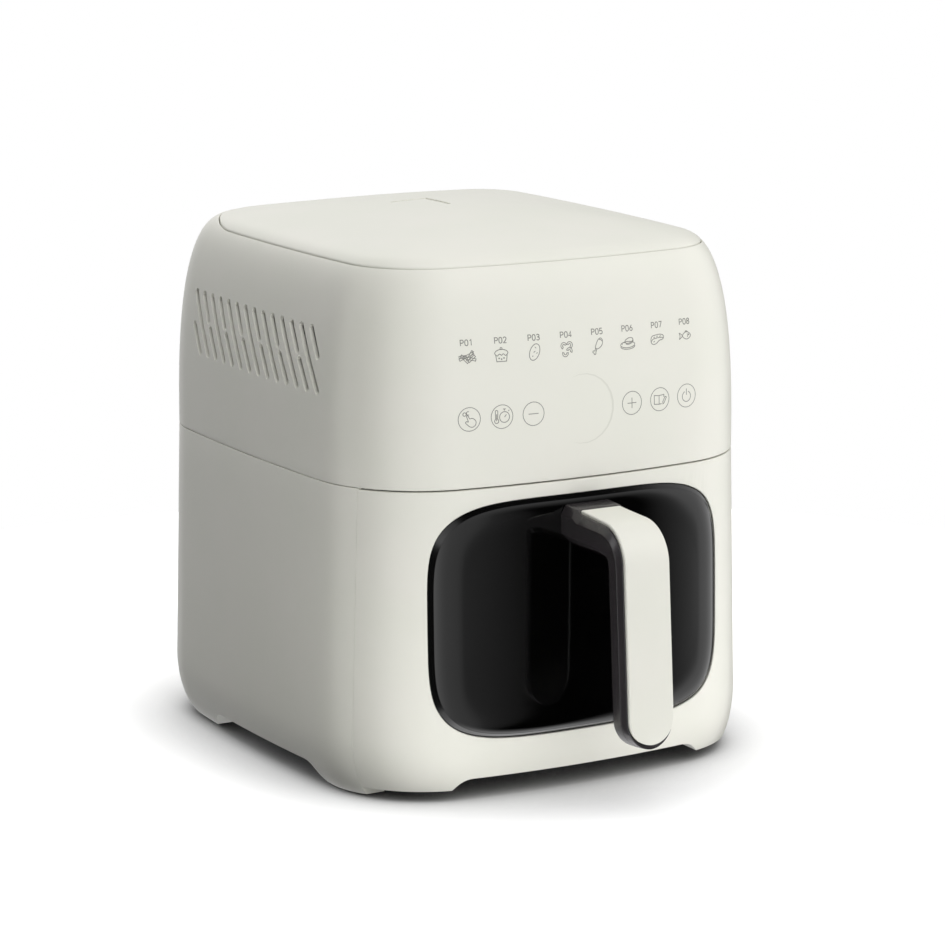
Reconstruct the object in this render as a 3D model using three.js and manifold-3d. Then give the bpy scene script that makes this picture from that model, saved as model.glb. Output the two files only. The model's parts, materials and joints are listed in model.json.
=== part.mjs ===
// Counter-top air fryer: a rounded cream housing with a bow front, a pull-out drawer with a dark
// gloss window, and a hooked handle. Millimetres, X to the right, -Y to the front, +Z up.
// Every separate piece of the appliance is its own named mesh, at its real size and place.
import * as THREE from 'three';
import { mergeVertices } from 'three/addons/utils/BufferGeometryUtils.js';
import ManifoldModule from 'manifold-3d';

const wasm = await ManifoldModule();
wasm.setup();

// ---------------------------------------------------------------- driving sizes, mm and degrees

// Plan outline of the housing at the floor: four shallow bows joined by round corners.
const bodyWidth = 263.8;
const bodyDepth = 290.4;
const frontBowRadius = 551;
const sideBowRadius = 1304;
const rearBowRadius = 661;
const frontCornerRadius = 65.4;
const rearCornerRadius = 62.7;

// Side view of the housing, from the floor up.
const draftAngle = 1.4;
const seamHeight = 169;
const shoulderHeight = 112.1;
const shoulderReach = 27.9;
const shoulderExponent = 2.7;
const crownRise = 18.6;
const lidEdgeInset = 22.1;
const crownStartInset = 38;
const crownDomeShare = 0.8;

// The lower edge of the housing turns in towards the floor.
const footEdgeHeight = 34;
const footEdgeExponent = 1.8;
const frontEdgeInset = 7;
const sideEdgeInset = 13.4;
const rearEdgeInset = 17;

// Arches between the feet.
const skirtHeight = 12;
const sideArchFrontMargin = 93.2;
const sideArchRearMargin = 112.2;
const sideArchFrontRun = 18;
const sideArchRearRun = 28;
const frontArchMargin = 32;
const frontArchRun = 24;
const rearArchMargin = 42;
const rearArchRun = 22;
const footBlockHalf = 13;
const footLift = 0.4;
const padRadius = 9;
const padHeight = 3;
const padChamfer = 0.8;
const padSideMargin = 33.9;
const padFrontMargin = 60.2;
const padRearMargin = 55.2;

// Walls and clearances.
const wall = 2.2;
const fitGap = 0.3;
const looseGap = 0.6;
const flangeGap = 0.9;
const seamGap = 0.7;
const lidGap = 0.6;
const lidLedge = 6;
const lidRimDepth = 5;

// Vent slots in both sides of the upper housing.
const ventRise = 47.2;
const ventHeight = 31.8;
const ventShortHeight = 13.8;
const ventBridge = 4.6;
const ventWidth = 2.7;
const ventPitch = 10.67;
const ventRearMargin = 70.2;
const ventFrontMargin = 80;
const ventSlant = 34;

// Mark on the lid.
const lidMarkX = -6;
const lidMarkY = 19;
const lidMarkAcross = 22;
const lidMarkAlong = 27;
const lidMarkWidth = 2.4;
const lidMarkDepth = 0.9;

// Drawer and its window.
const drawerDepth = 39.2;
const drawerFrontBottom = 6.9;
const drawerBackThickness = 4;
const windowTopMargin = 6.9;
const windowBottomZ = 32.3;
const windowSideMargin = 41.8;
const windowExponent = 4.6;
const bezelBevelWidth = 3.1;
const bezelBevelDrop = 1.9;
const bezelRise = 2.5;
const bezelRimWidth = 1;
const bezelFlangeWidth = 3.2;
const bezelFlangeThickness = 2;
const bezelLedge = 3;
const glassThickness = 3.6;
const glassPillow = 0.9;
const glassEdge = 0.5;
const glassShoulder = 4;
const glassShoulderShare = 0.7;
const glassFlatInset = 10;
const sealWidth = 4;
const sealMargin = 1.6;

// Handle: a hook that leaves the window near its top and hangs down in front of it.
const handleTopDrop = 12.7;
const handleReach = 58;
const handleTopSlope = 3.2;
const handleLean = 4.2;
const handleBendRadius = 22;
const handleTipZ = 34.8;
const handleHalfWidth = 16.5;
const handleRootThickness = 17.4;
const handleBendThickness = 15.2;
const handleGripThickness = 11.4;
const handleRootChamfer = 7;
const handleGripChamfer = 2.9;
const handleRootTopHalf = 12;
const handleGripTopHalf = 14.4;
const handleInnerChamfer = 1.5;
const handleLipDrop = 0.7;
const coverHalfWidth = 14;
const coverThickness = 2.1;
const coverEdge = 0.8;
const coverStart = 16.5;
const tenonHalfWidth = 12;
const tenonHalfHeight = 5;
const tenonDrop = 8.5;
const handleScrewSpread = 14;

// Basket and crisper plate.
const basketSideMargin = 36.3;
const basketRearGap = 11.05;
const basketFloorZ = 24;
const basketRimDrop = 13;
const basketFloorRadius = 7;
const basketWall = 1.3;
const basketTaper = 5;
const basketCornerRadius = 24;
const basketRimWidth = 3;
const basketRimThickness = 2;
const plateZ = 35;
const plateThickness = 2;
const plateGap = 2.5;
const plateSlotLength = 60;
const plateSlotWidth = 5;
const plateSlotRows = 7;
const plateSlotColumns = 2;
const plateFootRadius = 6;
const plateFootInset = 17;

// Cooking chamber.
const linerWall = 1;
const linerSideGap = 5;
const linerRearMargin = 49.2;
const linerCornerRadius = 12;
const linerFlangeWidth = 6;
const frameThickness = 2.5;
const frameOpeningMargin = 1;
const runnerHeight = 4.2;
const runnerRearGap = 12;
const runnerLeadIn = 8;
const runnerLeadDrop = 1.5;
const deckThickness = 1.8;
const deckRise = 3.6;
const deckRimWidth = 4;

// Heater and fan group, on a vertical axis through the middle of the housing.
const heaterSideMargin = 41.9;
const heaterFlangeWidth = 7;
const heaterSheet = 1.2;
const heaterCorner = 5;
const heaterRise = 49.4;
const shaftHoleRadius = 7;
const guardThickness = 1.4;
const guardBarWidth = 4;
const guardRings = 2;
const elementTubeRadius = 3.3;
const elementSideGap = 24;
const elementRise = 14.4;
const elementLeadAngle = 9;
const elementLeadBend = 8;
const elementLeadHeight = 9;
const clipThickness = 2;
const clipBorder = 2.5;
const clipAngles = [30, 150, 270];
const shaftRadius = 4;
const shaftBelowFan = 11;
const shaftAboveFan = 1.9;
const fanSideGap = 32;
const fanRise = 10;
const fanHubWall = 5;
const fanDiscThickness = 1.2;
const fanBladeThickness = 1.2;
const fanBladeHeight = 14;
const fanBladeSweep = 22;
const fanBlades = 9;
const fanNutHeight = 6;
const fanNutRadius = 7;
const bracketRadius = 42;
const bracketThickness = 1.8;
const bracketLegRadius = 4;
const bracketLegInset = 5;
const bracketLegAngles = [45, 135, 225, 315];
const standoffHeight = 10;
const motorRadius = 36;
const motorHeight = 28;
const motorBossRadius = 11;
const motorLowerBoss = 5;
const motorUpperBoss = 2;
const motorChamfer = 3;
const motorVents = 6;
const motorVentWidth = 5;
const motorVentMargin = 8;
const coolingFanRadius = 48;
const coolingFanGap = 5;
const coolingFanHeight = 10;
const coolingHubRadius = 12;
const coolingBladeWidth = 16;
const coolingBladeThickness = 1.4;
const coolingBladePitch = 28;
const coolingBlades = 7;

// Outlet at the back.
const ductHalfWidth = 28;
const ductRise = 13.4;
const ductHeight = 26;
const ductWall = 1.2;
const grilleMargin = 6;
const grilleBars = 6;
const grilleTilt = 20;
const glandSideMargin = 61.9;
const glandZ = 34;
const glandBore = 3.7;
const glandRadius = 7;
const glandFlangeWidth = 2.5;
const glandDepth = 9;
const glandNose = 2.5;
const glandLip = 0.9;

// Electronics and small parts.
const boardThickness = 1.6;
const touchBoardSideMargin = 55.9;
const touchBoardRise = 21;
const touchBoardHeight = 63;
const touchBoardSetback = 19.2;
const carrierBorder = 3;
const carrierRear = 2;
const carrierLip = 2;
const displayHalf = 16;
const displayHalfHeight = 12.8;
const displayRise = 15.8;
const powerBoardSideMargin = 39.9;
const powerBoardClearance = 3.5;
const powerBoardWidth = 36;
const powerBoardDepth = 40;
const powerBoardRise = 7.6;
const boardPostRadius = 2.5;
const boardPostInset = 4;
const boardEdgeGap = 3;
const relaySize = [14, 18, 14];
const chokeSize = [13, 16, 12];
const capacitorRadius = 6;
const capacitorHeight = 18;
const screwHeadRadius = 3.6;
const screwHeadHeight = 1.6;
const screwShankRadius = 1.6;
const sealThickness = 1.7;
const switchSideMargin = 20.9;
const switchZ = 70;
const switchInnerWidth = 6;
const switchOuterWidth = 4;
const switchDepth = 12;
const switchHalfHeight = 10;
const switchPinRadius = 1.5;
const sensorX = 75;
const sensorY = 25;
const sensorRadius = 2.2;
const sensorReach = 24;
const sensorCollar = 4;
const sensorHeight = 9;
const cutoutX = -60;
const cutoutY = -50;
const cutoutRadius = 8;
const cutoutHeight = 6;
const cutoutPin = 4;
const cutoutEarHalf = 12;
const cutoutEarWidth = 6;
const screwLength = 12;
const bossRadius = 6;
const bossHeight = 30;
const bossInset = 11;
const bossFrontMargin = 111.2;
const bossRearMargin = 127.2;
const basePlateThickness = 3;
const baseSlotHalf = 30;
const baseSlotWidth = 4;
const baseSlotPitch = 14;
const baseSlotRows = 5;

// Places that follow from the sizes above.
const halfWidth = bodyWidth / 2;
const halfDepth = bodyDepth / 2;
const drawerSplitY = drawerDepth - halfDepth;
const deckZ = seamHeight + deckRise;
const deckTop = deckZ + deckThickness;
const heaterRadius = halfWidth - heaterSideMargin;
const heaterFlangeRadius = heaterRadius + heaterFlangeWidth;
const heaterTopZ = deckZ + heaterRise;
const ductBottomZ = deckZ + ductRise;
const ductTopZ = ductBottomZ + ductHeight;
const basketHalfWidth = halfWidth - basketSideMargin;
const basketRimZ = seamHeight - basketRimDrop;
const linerHalfWidth = basketHalfWidth + linerSideGap;
const linerRearY = halfDepth - linerRearMargin;

// ---------------------------------------------------------------- materials

function plastic(colour, roughness) {
  return new THREE.MeshStandardMaterial({ color: colour, roughness, metalness: 0 });
}

function metal(colour, roughness) {
  return new THREE.MeshStandardMaterial({ color: colour, roughness, metalness: 0.9 });
}

const creamPlastic = plastic(0xe4e3d8, 0.45);
const glossBlack = plastic(0x050505, 0.06);
const handleBlack = plastic(0x222124, 0.35);
const darkPlastic = plastic(0x2b2b2c, 0.6);
const rubber = plastic(0x3a3a3a, 0.85);
const boardGreen = plastic(0x1f5a38, 0.5);
const coatedSteel = metal(0x2f2f31, 0.5);
const plainSteel = metal(0xb8b9ba, 0.35);
const elementSteel = metal(0x6c6a66, 0.4);
const aluminium = metal(0xc7c9cb, 0.3);

// ---------------------------------------------------------------- solids, joins and cuts

const degrees = Math.PI / 180;

// A closed three.js geometry as a manifold solid.
function toSolid(geometry) {
  const bare = geometry.clone();
  bare.deleteAttribute('normal');
  bare.deleteAttribute('uv');
  const merged = mergeVertices(bare, 1e-4);
  const mesh = new wasm.Mesh({
    numProp: 3,
    vertProperties: new Float32Array(merged.attributes.position.array),
    triVerts: new Uint32Array(merged.index.array),
  });
  return new wasm.Manifold(mesh);
}

function toGeometry(solid) {
  const mesh = solid.getMesh();
  const geometry = new THREE.BufferGeometry();
  geometry.setAttribute('position', new THREE.BufferAttribute(mesh.vertProperties, 3));
  geometry.setIndex(new THREE.BufferAttribute(mesh.triVerts, 1));
  geometry.computeVertexNormals();
  return geometry;
}

function join(first, ...others) {
  return others.reduce((total, other) => total.add(other), first);
}

function cut(first, ...others) {
  return others.reduce((total, other) => total.subtract(other), first);
}

// A box between two corners.
function block(x0, x1, y0, y1, z0, z1) {
  const geometry = new THREE.BoxGeometry(x1 - x0, y1 - y0, z1 - z0);
  geometry.translate((x0 + x1) / 2, (y0 + y1) / 2, (z0 + z1) / 2);
  return toSolid(geometry);
}

// An upright cylinder about (x, y).
function post(x, y, z0, z1, radius, sides) {
  const geometry = new THREE.CylinderGeometry(radius, radius, z1 - z0, sides);
  geometry.rotateX(Math.PI / 2);
  geometry.translate(x, y, (z0 + z1) / 2);
  return toSolid(geometry);
}

// A cylinder whose axis runs front to back through (x, z).
function pin(x, z, y0, y1, radius, sides = 24) {
  const geometry = new THREE.CylinderGeometry(radius, radius, y1 - y0, sides);
  geometry.translate(x, (y0 + y1) / 2, z);
  return toSolid(geometry);
}

// A profile of [radius, z] points turned about the vertical axis through (x, y).
function turned(profile, x, y, sides = 32) {
  const points = profile.map(([radius, z]) => new THREE.Vector2(radius, z));
  const geometry = new THREE.LatheGeometry(points, sides);
  geometry.rotateX(Math.PI / 2);
  geometry.translate(x, y, 0);
  return toSolid(geometry);
}

// A flat shape in X and Y raised from z0 to z1.
function raised(shape, z0, z1, curveSegments = 6) {
  const geometry = new THREE.ExtrudeGeometry(shape, { depth: z1 - z0, bevelEnabled: false, curveSegments });
  geometry.translate(0, 0, z0);
  return toSolid(geometry);
}

// Skin between rings that all have the same number of [x, y, z] points; the ends are closed with
// fans, or the last ring is joined to the first one.
function loft(rings, endless = false) {
  const count = rings[0].length;
  const positions = rings.flat(2);
  const index = [];
  const bands = endless ? rings.length : rings.length - 1;
  for (let band = 0; band < bands; band += 1) {
    const low = band * count;
    const high = ((band + 1) % rings.length) * count;
    for (let i = 0; i < count; i += 1) {
      const next = (i + 1) % count;
      index.push(low + i, low + next, high + next, low + i, high + next, high + i);
    }
  }
  if (!endless) {
    closeEnd(positions, index, rings[0], 0, true);
    closeEnd(positions, index, rings[rings.length - 1], (rings.length - 1) * count, false);
  }
  const geometry = new THREE.BufferGeometry();
  geometry.setAttribute('position', new THREE.Float32BufferAttribute(positions, 3));
  geometry.setIndex(index);
  const solid = toSolid(geometry);
  return solid.volume() > 0 ? solid : toSolid(flipped(geometry));
}

// A fan from the middle of an end ring.
function closeEnd(positions, index, ring, start, facesBack) {
  const centre = [0, 1, 2].map((axis) => ring.reduce((sum, point) => sum + point[axis], 0) / ring.length);
  const middle = positions.length / 3;
  positions.push(...centre);
  ring.forEach((point, i) => {
    const next = start + ((i + 1) % ring.length);
    index.push(...(facesBack ? [middle, next, start + i] : [middle, start + i, next]));
  });
}

function flipped(geometry) {
  const turnedOver = geometry.clone();
  const index = Array.from(geometry.index.array);
  for (let i = 0; i < index.length; i += 3) {
    [index[i], index[i + 1]] = [index[i + 1], index[i]];
  }
  turnedOver.setIndex(index);
  return turnedOver;
}

// ---------------------------------------------------------------- the housing's skin

// Centre of a fillet that touches two circles from inside, on the side given by pick.
function filletCentre(centreA, radiusA, centreB, radiusB, radius, pick) {
  const reachA = radiusA - radius;
  const reachB = radiusB - radius;
  const axis = new THREE.Vector2().subVectors(centreB, centreA);
  const distance = axis.length();
  const along = (reachA ** 2 - reachB ** 2 + distance ** 2) / (2 * distance);
  const across = Math.sqrt(Math.max(reachA ** 2 - along ** 2, 0));
  axis.normalize();
  const foot = centreA.clone().addScaledVector(axis, along);
  const normal = new THREE.Vector2(-axis.y, axis.x);
  const options = [foot.clone().addScaledVector(normal, across), foot.clone().addScaledVector(normal, -across)];
  return options.sort((a, b) => pick(b) - pick(a))[0];
}

// The arcs of the right half of the outline, inset by separate amounts from front, side and rear.
function outlineArcs(front, side, rear) {
  const bow = { centre: new THREE.Vector2(0, -bodyDepth / 2 + frontBowRadius), radius: frontBowRadius - front };
  const flank = { centre: new THREE.Vector2(bodyWidth / 2 - sideBowRadius, 0), radius: sideBowRadius - side };
  const back = { centre: new THREE.Vector2(0, bodyDepth / 2 - rearBowRadius), radius: rearBowRadius - rear };
  const frontCorner = { radius: Math.max(frontCornerRadius - (front + side) / 2, 1) };
  frontCorner.centre = filletCentre(
    bow.centre, bow.radius, flank.centre, flank.radius, frontCorner.radius, (p) => p.x - p.y,
  );
  const rearCorner = { radius: Math.max(rearCornerRadius - (rear + side) / 2, 1) };
  rearCorner.centre = filletCentre(
    back.centre, back.radius, flank.centre, flank.radius, rearCorner.radius, (p) => p.x + p.y,
  );
  return { bow, flank, back, frontCorner, rearCorner };
}

function direction(from, to) {
  return Math.atan2(to.y - from.y, to.x - from.x);
}

// Points of the whole outline, anticlockwise from the middle of the front.
function outlinePoints(front, side, rear) {
  const { bow, flank, back, frontCorner, rearCorner } = outlineArcs(front, side, rear);
  const bowEnd = direction(bow.centre, frontCorner.centre);
  const flankStart = direction(flank.centre, frontCorner.centre);
  const flankEnd = direction(flank.centre, rearCorner.centre);
  const backStart = direction(back.centre, rearCorner.centre);
  const half = [];
  const addArc = (arc, from, to, steps) => {
    for (let i = 0; i < steps; i += 1) {
      const angle = from + ((to - from) * i) / steps;
      half.push([arc.centre.x + arc.radius * Math.cos(angle), arc.centre.y + arc.radius * Math.sin(angle)]);
    }
  };
  addArc(bow, -Math.PI / 2, bowEnd, 2);
  addArc(frontCorner, bowEnd, flankStart, 5);
  addArc(flank, flankStart, flankEnd, 2);
  addArc(rearCorner, flankEnd, backStart, 4);
  addArc(back, backStart, Math.PI / 2, 2);
  const mirrored = half.slice(1).reverse().map(([x, y]) => [-x, y]);
  return [...half, [0, back.centre.y + back.radius], ...mirrored];
}

const draftPerMm = Math.tan(draftAngle * degrees);
const wallTopInset = draftPerMm * seamHeight;

// How far the lower edge has turned in at a height: 1 at the floor, 0 above the rounded edge.
function edgeTurn(z) {
  const depth = Math.min(1, Math.max(0, (footEdgeHeight - z) / footEdgeHeight));
  return 1 - (1 - depth ** footEdgeExponent) ** (1 / footEdgeExponent);
}

// A ring of the straight part of the housing, a wall's thickness inside its outer face.
function wallRing(z, inside) {
  const inset = draftPerMm * z + inside;
  const turn = edgeTurn(z);
  const points = outlinePoints(
    inset + frontEdgeInset * turn, inset + sideEdgeInset * turn, inset + rearEdgeInset * turn,
  );
  return points.map(([x, y]) => [x, y, z]);
}

// Height of the roof at a distance in from the floor outline.
function roofHeight(inset) {
  const reach = Math.min(1, Math.max(0, (inset - wallTopInset) / shoulderReach));
  const rise = (1 - (1 - reach) ** shoulderExponent) ** (1 / shoulderExponent);
  const across = (inset - wallTopInset) / (halfWidth - wallTopInset);
  return seamHeight + shoulderHeight * rise + crownRise * (1 - (1 - Math.min(1, across)) ** 2);
}

// A ring of the shoulder, drawn a wall's thickness inside its outer face.
function roofRing(inset, inside) {
  const reach = Math.min(1, (inset - wallTopInset) / shoulderReach);
  const edge = inset + inside * (1 - reach);
  const z = roofHeight(inset) - inside * reach;
  return outlinePoints(edge, edge, edge).map(([x, y]) => [x, y, z]);
}

// A ring of the lid's crown, from its edge at share 1 to its middle at 0. It passes from the
// outline's shape into an even dome, so that the middle has no creases.
function crownRing(share, inside) {
  const peak = roofHeight(halfWidth);
  const inset = halfWidth - (halfWidth - crownStartInset) * share;
  const ringDrop = peak - roofHeight(inset);
  const edgeDrop = peak - roofHeight(crownStartInset);
  const blend = share * share * (3 - 2 * share);
  return outlinePoints(crownStartInset, crownStartInset, crownStartInset).map(([edgeX, edgeY]) => {
    const x = edgeX * share;
    const y = edgeY * share;
    const across = (x / (halfWidth - crownStartInset)) ** 2 + (y / (halfDepth - crownStartInset)) ** 2;
    return [x, y, peak - inside - blend * ringDrop - (1 - blend) * crownDomeShare * edgeDrop * across];
  });
}

const wallLevels = [0, 0.09, 0.28, 0.58, 1].map((part) => footEdgeHeight * part).concat(seamHeight);
const roofInsets = [0.034, 0.2, 0.5, 1].map((part) => wallTopInset + shoulderReach * part);
const crownShares = [1, 0.55, 0.02];

// The lower part of the housing as a solid block, a distance inside the outer face.
function wallBlock(inside) {
  return loft(wallLevels.map((z) => wallRing(z, inside)));
}

// The upper part as a solid block that starts at the seam.
function roofBlock(inside) {
  const seamRing = wallRing(seamHeight, inside);
  const shoulder = roofInsets.map((inset) => roofRing(inset, inside));
  return loft([seamRing, ...shoulder, ...crownShares.map((share) => crownRing(share, inside))]);
}

// The housing's outline at a height, inset by one amount all round.
function flatRing(inset, z) {
  return outlinePoints(inset, inset, inset).map(([x, y]) => [x, y, z]);
}

const far = 400;
const lowerSkin = wallBlock(0);
const lowerCore = wallBlock(wall);
const lowerInside = wallBlock(wall + fitGap);
const upperSkin = roofBlock(0);
const upperCore = roofBlock(wall);
const upperInside = roofBlock(wall + fitGap);

// Depth of the front face at (x, z), moved out of the housing by a distance along its normal.
function frontFaceY(x, z, out) {
  const inset = draftPerMm * z;
  const turn = edgeTurn(z);
  const { bow, frontCorner } = outlineArcs(
    inset + frontEdgeInset * turn, inset + sideEdgeInset * turn, inset + rearEdgeInset * turn,
  );
  const reach = Math.abs(x);
  const onCorner = reach > (frontCorner.centre.x * (bow.radius + out)) / (bow.radius - frontCorner.radius);
  if (onCorner) {
    const across = reach - frontCorner.centre.x;
    return frontCorner.centre.y - Math.sqrt((frontCorner.radius + out) ** 2 - across ** 2);
  }
  return bow.centre.y - Math.sqrt((bow.radius + out) ** 2 - reach ** 2);
}

// Depth of the rear face at (x, z), a distance inside it.
function rearFaceY(x, z, inside) {
  const inset = draftPerMm * Math.min(z, seamHeight) + inside;
  const { back } = outlineArcs(inset, inset, inset);
  return back.centre.y + Math.sqrt(back.radius ** 2 - x ** 2);
}

// ---------------------------------------------------------------- housing pieces

// A slot with round ends whose straight part runs from (0, 0) to (0, length).
function slotShape(length, width, steps) {
  const points = [[length, 0], [0, 180]].flatMap(([height, start]) => (
    Array.from({ length: steps + 1 }, (_, i) => {
      const angle = (start + (180 * i) / steps) * degrees;
      return new THREE.Vector2((width / 2) * Math.cos(angle), height + (width / 2) * Math.sin(angle));
    })
  ));
  return new THREE.Shape(points);
}

// A slot that leans back, from (y0, z0) up to (y1, z1), cut through one side wall.
function ventSlot(side, y0, z0, y1, z1) {
  const shape = slotShape(Math.hypot(y1 - y0, z1 - z0), ventWidth, 2);
  const reach = 2 * shoulderReach;
  const geometry = new THREE.ExtrudeGeometry(shape, { depth: reach, bevelEnabled: false });
  geometry.translate(0, 0, -reach / 2);
  geometry.rotateZ(-Math.atan2(y1 - y0, z1 - z0));
  geometry.rotateX(Math.PI / 2);
  geometry.rotateZ(Math.PI / 2);
  geometry.translate(side * halfWidth, y0, z0);
  return toSolid(geometry);
}

// Long slots alternate with slots that are split in two. The first line has only its lower
// part and the last one only its upper part.
function ventSlots(side) {
  const bottom = seamHeight + ventRise;
  const top = bottom + ventHeight;
  const splitLow = bottom + ventShortHeight;
  const splitHigh = splitLow + ventBridge;
  const firstY = halfDepth - ventRearMargin;
  const lastLine = Math.floor((firstY + halfDepth - ventFrontMargin) / ventPitch);
  const lean = Math.tan(ventSlant * degrees);
  const slots = [];
  const add = (line, low, high) => {
    const yAt = (z) => firstY - line * ventPitch - (top - z) * lean;
    slots.push(ventSlot(side, yAt(low), low, yAt(high), high));
  };
  for (let line = -1; line <= lastLine; line += 1) {
    if (line % 2 === 0) {
      add(line, bottom, top);
    } else {
      if (line > -1) add(line, splitHigh, top);
      if (line < lastLine) add(line, bottom, splitLow);
    }
  }
  return slots;
}

// Height of the lid's rim, where it rests on the ledge of the upper housing.
const lidRimZ = roofHeight(lidEdgeInset) - lidRimDepth;
const lidSeatInset = lidEdgeInset + lidGap / 2;

function rearGrilleOpening(margin) {
  const x = ductHalfWidth + grilleMargin - margin;
  const z0 = ductBottomZ - grilleMargin + margin;
  const z1 = ductTopZ + grilleMargin - margin;
  return block(-x, x, 0, far, z0, z1);
}

// The upper shell: up its outer face, over the rim, round the ledge that carries the lid, and
// down its inner face.
function upperHousing() {
  const bottom = seamHeight + fitGap / 2;
  const rimInset = lidEdgeInset - lidGap / 2;
  const ledgeTop = lidRimZ - fitGap;
  const shellInsets = roofInsets.filter((inset) => inset < rimInset);
  const innerTop = rimInset - 1.5 * wall;
  const shell = loft([
    wallRing(bottom, 0),
    ...shellInsets.map((inset) => roofRing(inset, 0)),
    roofRing(rimInset, 0),
    flatRing(rimInset, ledgeTop),
    flatRing(lidEdgeInset + lidLedge, ledgeTop),
    flatRing(lidEdgeInset + lidLedge, ledgeTop - wall),
    flatRing(rimInset - wall, ledgeTop - wall),
    roofRing(innerTop, wall),
    ...shellInsets.filter((inset) => inset < innerTop - wall).reverse().map((inset) => roofRing(inset, wall)),
    wallRing(bottom, wall),
  ], true);
  return cut(shell, ...ventSlots(-1), ...ventSlots(1), rearGrilleOpening(0));
}

// Two engraved arms that meet at a square corner.
function lidMark() {
  const half = lidMarkWidth / 2;
  const top = far;
  const across = block(lidMarkX - lidMarkAcross, lidMarkX + half, lidMarkY - half, lidMarkY + half, 0, top);
  const along = block(lidMarkX - half, lidMarkX + half, lidMarkY - lidMarkAlong, lidMarkY + half, 0, top);
  return join(across, along);
}

// Rings of the lid's face from its edge to the crown, lowered by a depth.
function lidRings(edgeInset, depth) {
  const insets = [edgeInset, ...roofInsets.filter((inset) => inset > lidSeatInset + 2 * wall)];
  const shoulder = insets.map((inset) => roofRing(inset, 0));
  const rings = [...shoulder, ...crownShares.map((share) => crownRing(share, 0))];
  return rings.map((ring) => ring.map(([x, y, z]) => [x, y, z - depth]));
}

// The lid: a domed shell with a short skirt, and the mark engraved to an even depth.
function topCover() {
  const shell = loft([
    ...lidRings(lidSeatInset + wall, wall).reverse(),
    flatRing(lidSeatInset + wall, lidRimZ),
    flatRing(lidSeatInset, lidRimZ),
    ...lidRings(lidSeatInset, 0),
  ]);
  const belowMark = loft([flatRing(lidSeatInset, 0), ...lidRings(lidSeatInset, lidMarkDepth)]);
  return cut(shell, cut(lidMark(), belowMark));
}

// An arch in the skirt: a flat top whose ends curve down to the floor, swept along Y from one
// depth to another.
function archAcross(start, end, startRun, endRun, from, to) {
  const shape = new THREE.Shape();
  const below = -1;
  shape.moveTo(start - startRun, below);
  shape.lineTo(start - startRun, 0);
  shape.bezierCurveTo(start - startRun * 0.45, 0, start - startRun * 0.5, skirtHeight, start, skirtHeight);
  shape.lineTo(end, skirtHeight);
  shape.bezierCurveTo(end + endRun * 0.5, skirtHeight, end + endRun * 0.45, 0, end + endRun, 0);
  shape.lineTo(end + endRun, below);
  shape.closePath();
  const geometry = new THREE.ExtrudeGeometry(shape, { depth: to - from, bevelEnabled: false, curveSegments: 4 });
  geometry.translate(0, 0, -to);
  geometry.rotateX(Math.PI / 2);
  return geometry;
}

const basePlateZ = skirtHeight + looseGap;
const basePlateTop = basePlateZ + basePlateThickness;
const padX = halfWidth - padSideMargin;
const padFrontY = padFrontMargin - halfDepth;
const padRearY = halfDepth - padRearMargin;
const padPlaces = [[-padX, padFrontY], [padX, padFrontY], [-padX, padRearY], [padX, padRearY]];
const bossX = halfWidth - wall - bossInset;
const bossFrontY = bossFrontMargin - halfDepth;
const bossRearY = halfDepth - bossRearMargin;
const bossPlaces = [[-bossX, bossFrontY], [bossX, bossFrontY], [-bossX, bossRearY], [bossX, bossRearY]];
const screwSeatZ = basePlateZ + screwHeadHeight + fitGap;
const housingFrontEdge = drawerSplitY + seamGap / 2;
const glandX = glandSideMargin - halfWidth;

// A screw boss with the rib that ties it to the side wall.
function boss(x, y) {
  const bottom = basePlateTop + fitGap;
  const reach = Math.sign(x) * halfWidth;
  const top = bottom + bossHeight;
  const rib = block(Math.min(x, reach), Math.max(x, reach), y - wall / 2, y + wall / 2, bottom, top);
  return join(post(x, y, bottom, top, bossRadius, 10), rib);
}

function lowerHousing() {
  const region = block(-far, far, housingFrontEdge, far, footLift, seamHeight - fitGap / 2);
  const shell = cut(lowerSkin, lowerCore);
  const footLevel = block(-far, far, -far, far, 0, skirtHeight - fitGap);
  const betweenFeet = block(footBlockHalf - padX, padX - footBlockHalf, -far, far, -1, far);
  const feet = cut(lowerSkin.intersect(footLevel), betweenFeet);
  const bosses = bossPlaces.map(([x, y]) => boss(x, y));
  const body = join(shell, feet, join(...bosses).intersect(lowerSkin)).intersect(region);
  const sideArch = archAcross(
    sideArchFrontMargin - halfDepth, halfDepth - sideArchRearMargin, sideArchFrontRun, sideArchRearRun, -far, far,
  );
  const rearArchHalf = padX - rearArchMargin;
  const rearArch = archAcross(-rearArchHalf, rearArchHalf, rearArchRun, rearArchRun, 0, far);
  const pockets = padPlaces.map(([x, y]) => post(x, y, -1, padHeight, padRadius + fitGap, 16));
  const boreTop = screwSeatZ + screwLength + fitGap;
  const bores = bossPlaces.map(([x, y]) => post(x, y, skirtHeight, boreTop, screwShankRadius + looseGap, 8));
  const glandHole = pin(glandX, glandZ, 0, far, glandRadius + fitGap, 12);
  return cut(body, toSolid(sideArch.rotateZ(Math.PI / 2)), toSolid(rearArch), ...pockets, ...bores, glandHole);
}

// Floor pan of the housing, with air slots and countersunk screw holes.
function basePlate() {
  const slab = lowerInside.intersect(block(-far, far, housingFrontEdge, far, basePlateZ, basePlateTop));
  const slots = [];
  for (let row = 0; row < baseSlotRows; row += 1) {
    const y = (row - (baseSlotRows - 1) / 2) * baseSlotPitch;
    slots.push(block(-baseSlotHalf, baseSlotHalf, y - baseSlotWidth / 2, y + baseSlotWidth / 2, 0, far));
  }
  const holes = bossPlaces.map(([x, y]) => join(
    post(x, y, 0, screwSeatZ + fitGap, screwHeadRadius + looseGap, 8),
    post(x, y, 0, far, screwShankRadius + looseGap, 6),
  ));
  return cut(slab, ...slots, ...holes);
}

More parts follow.
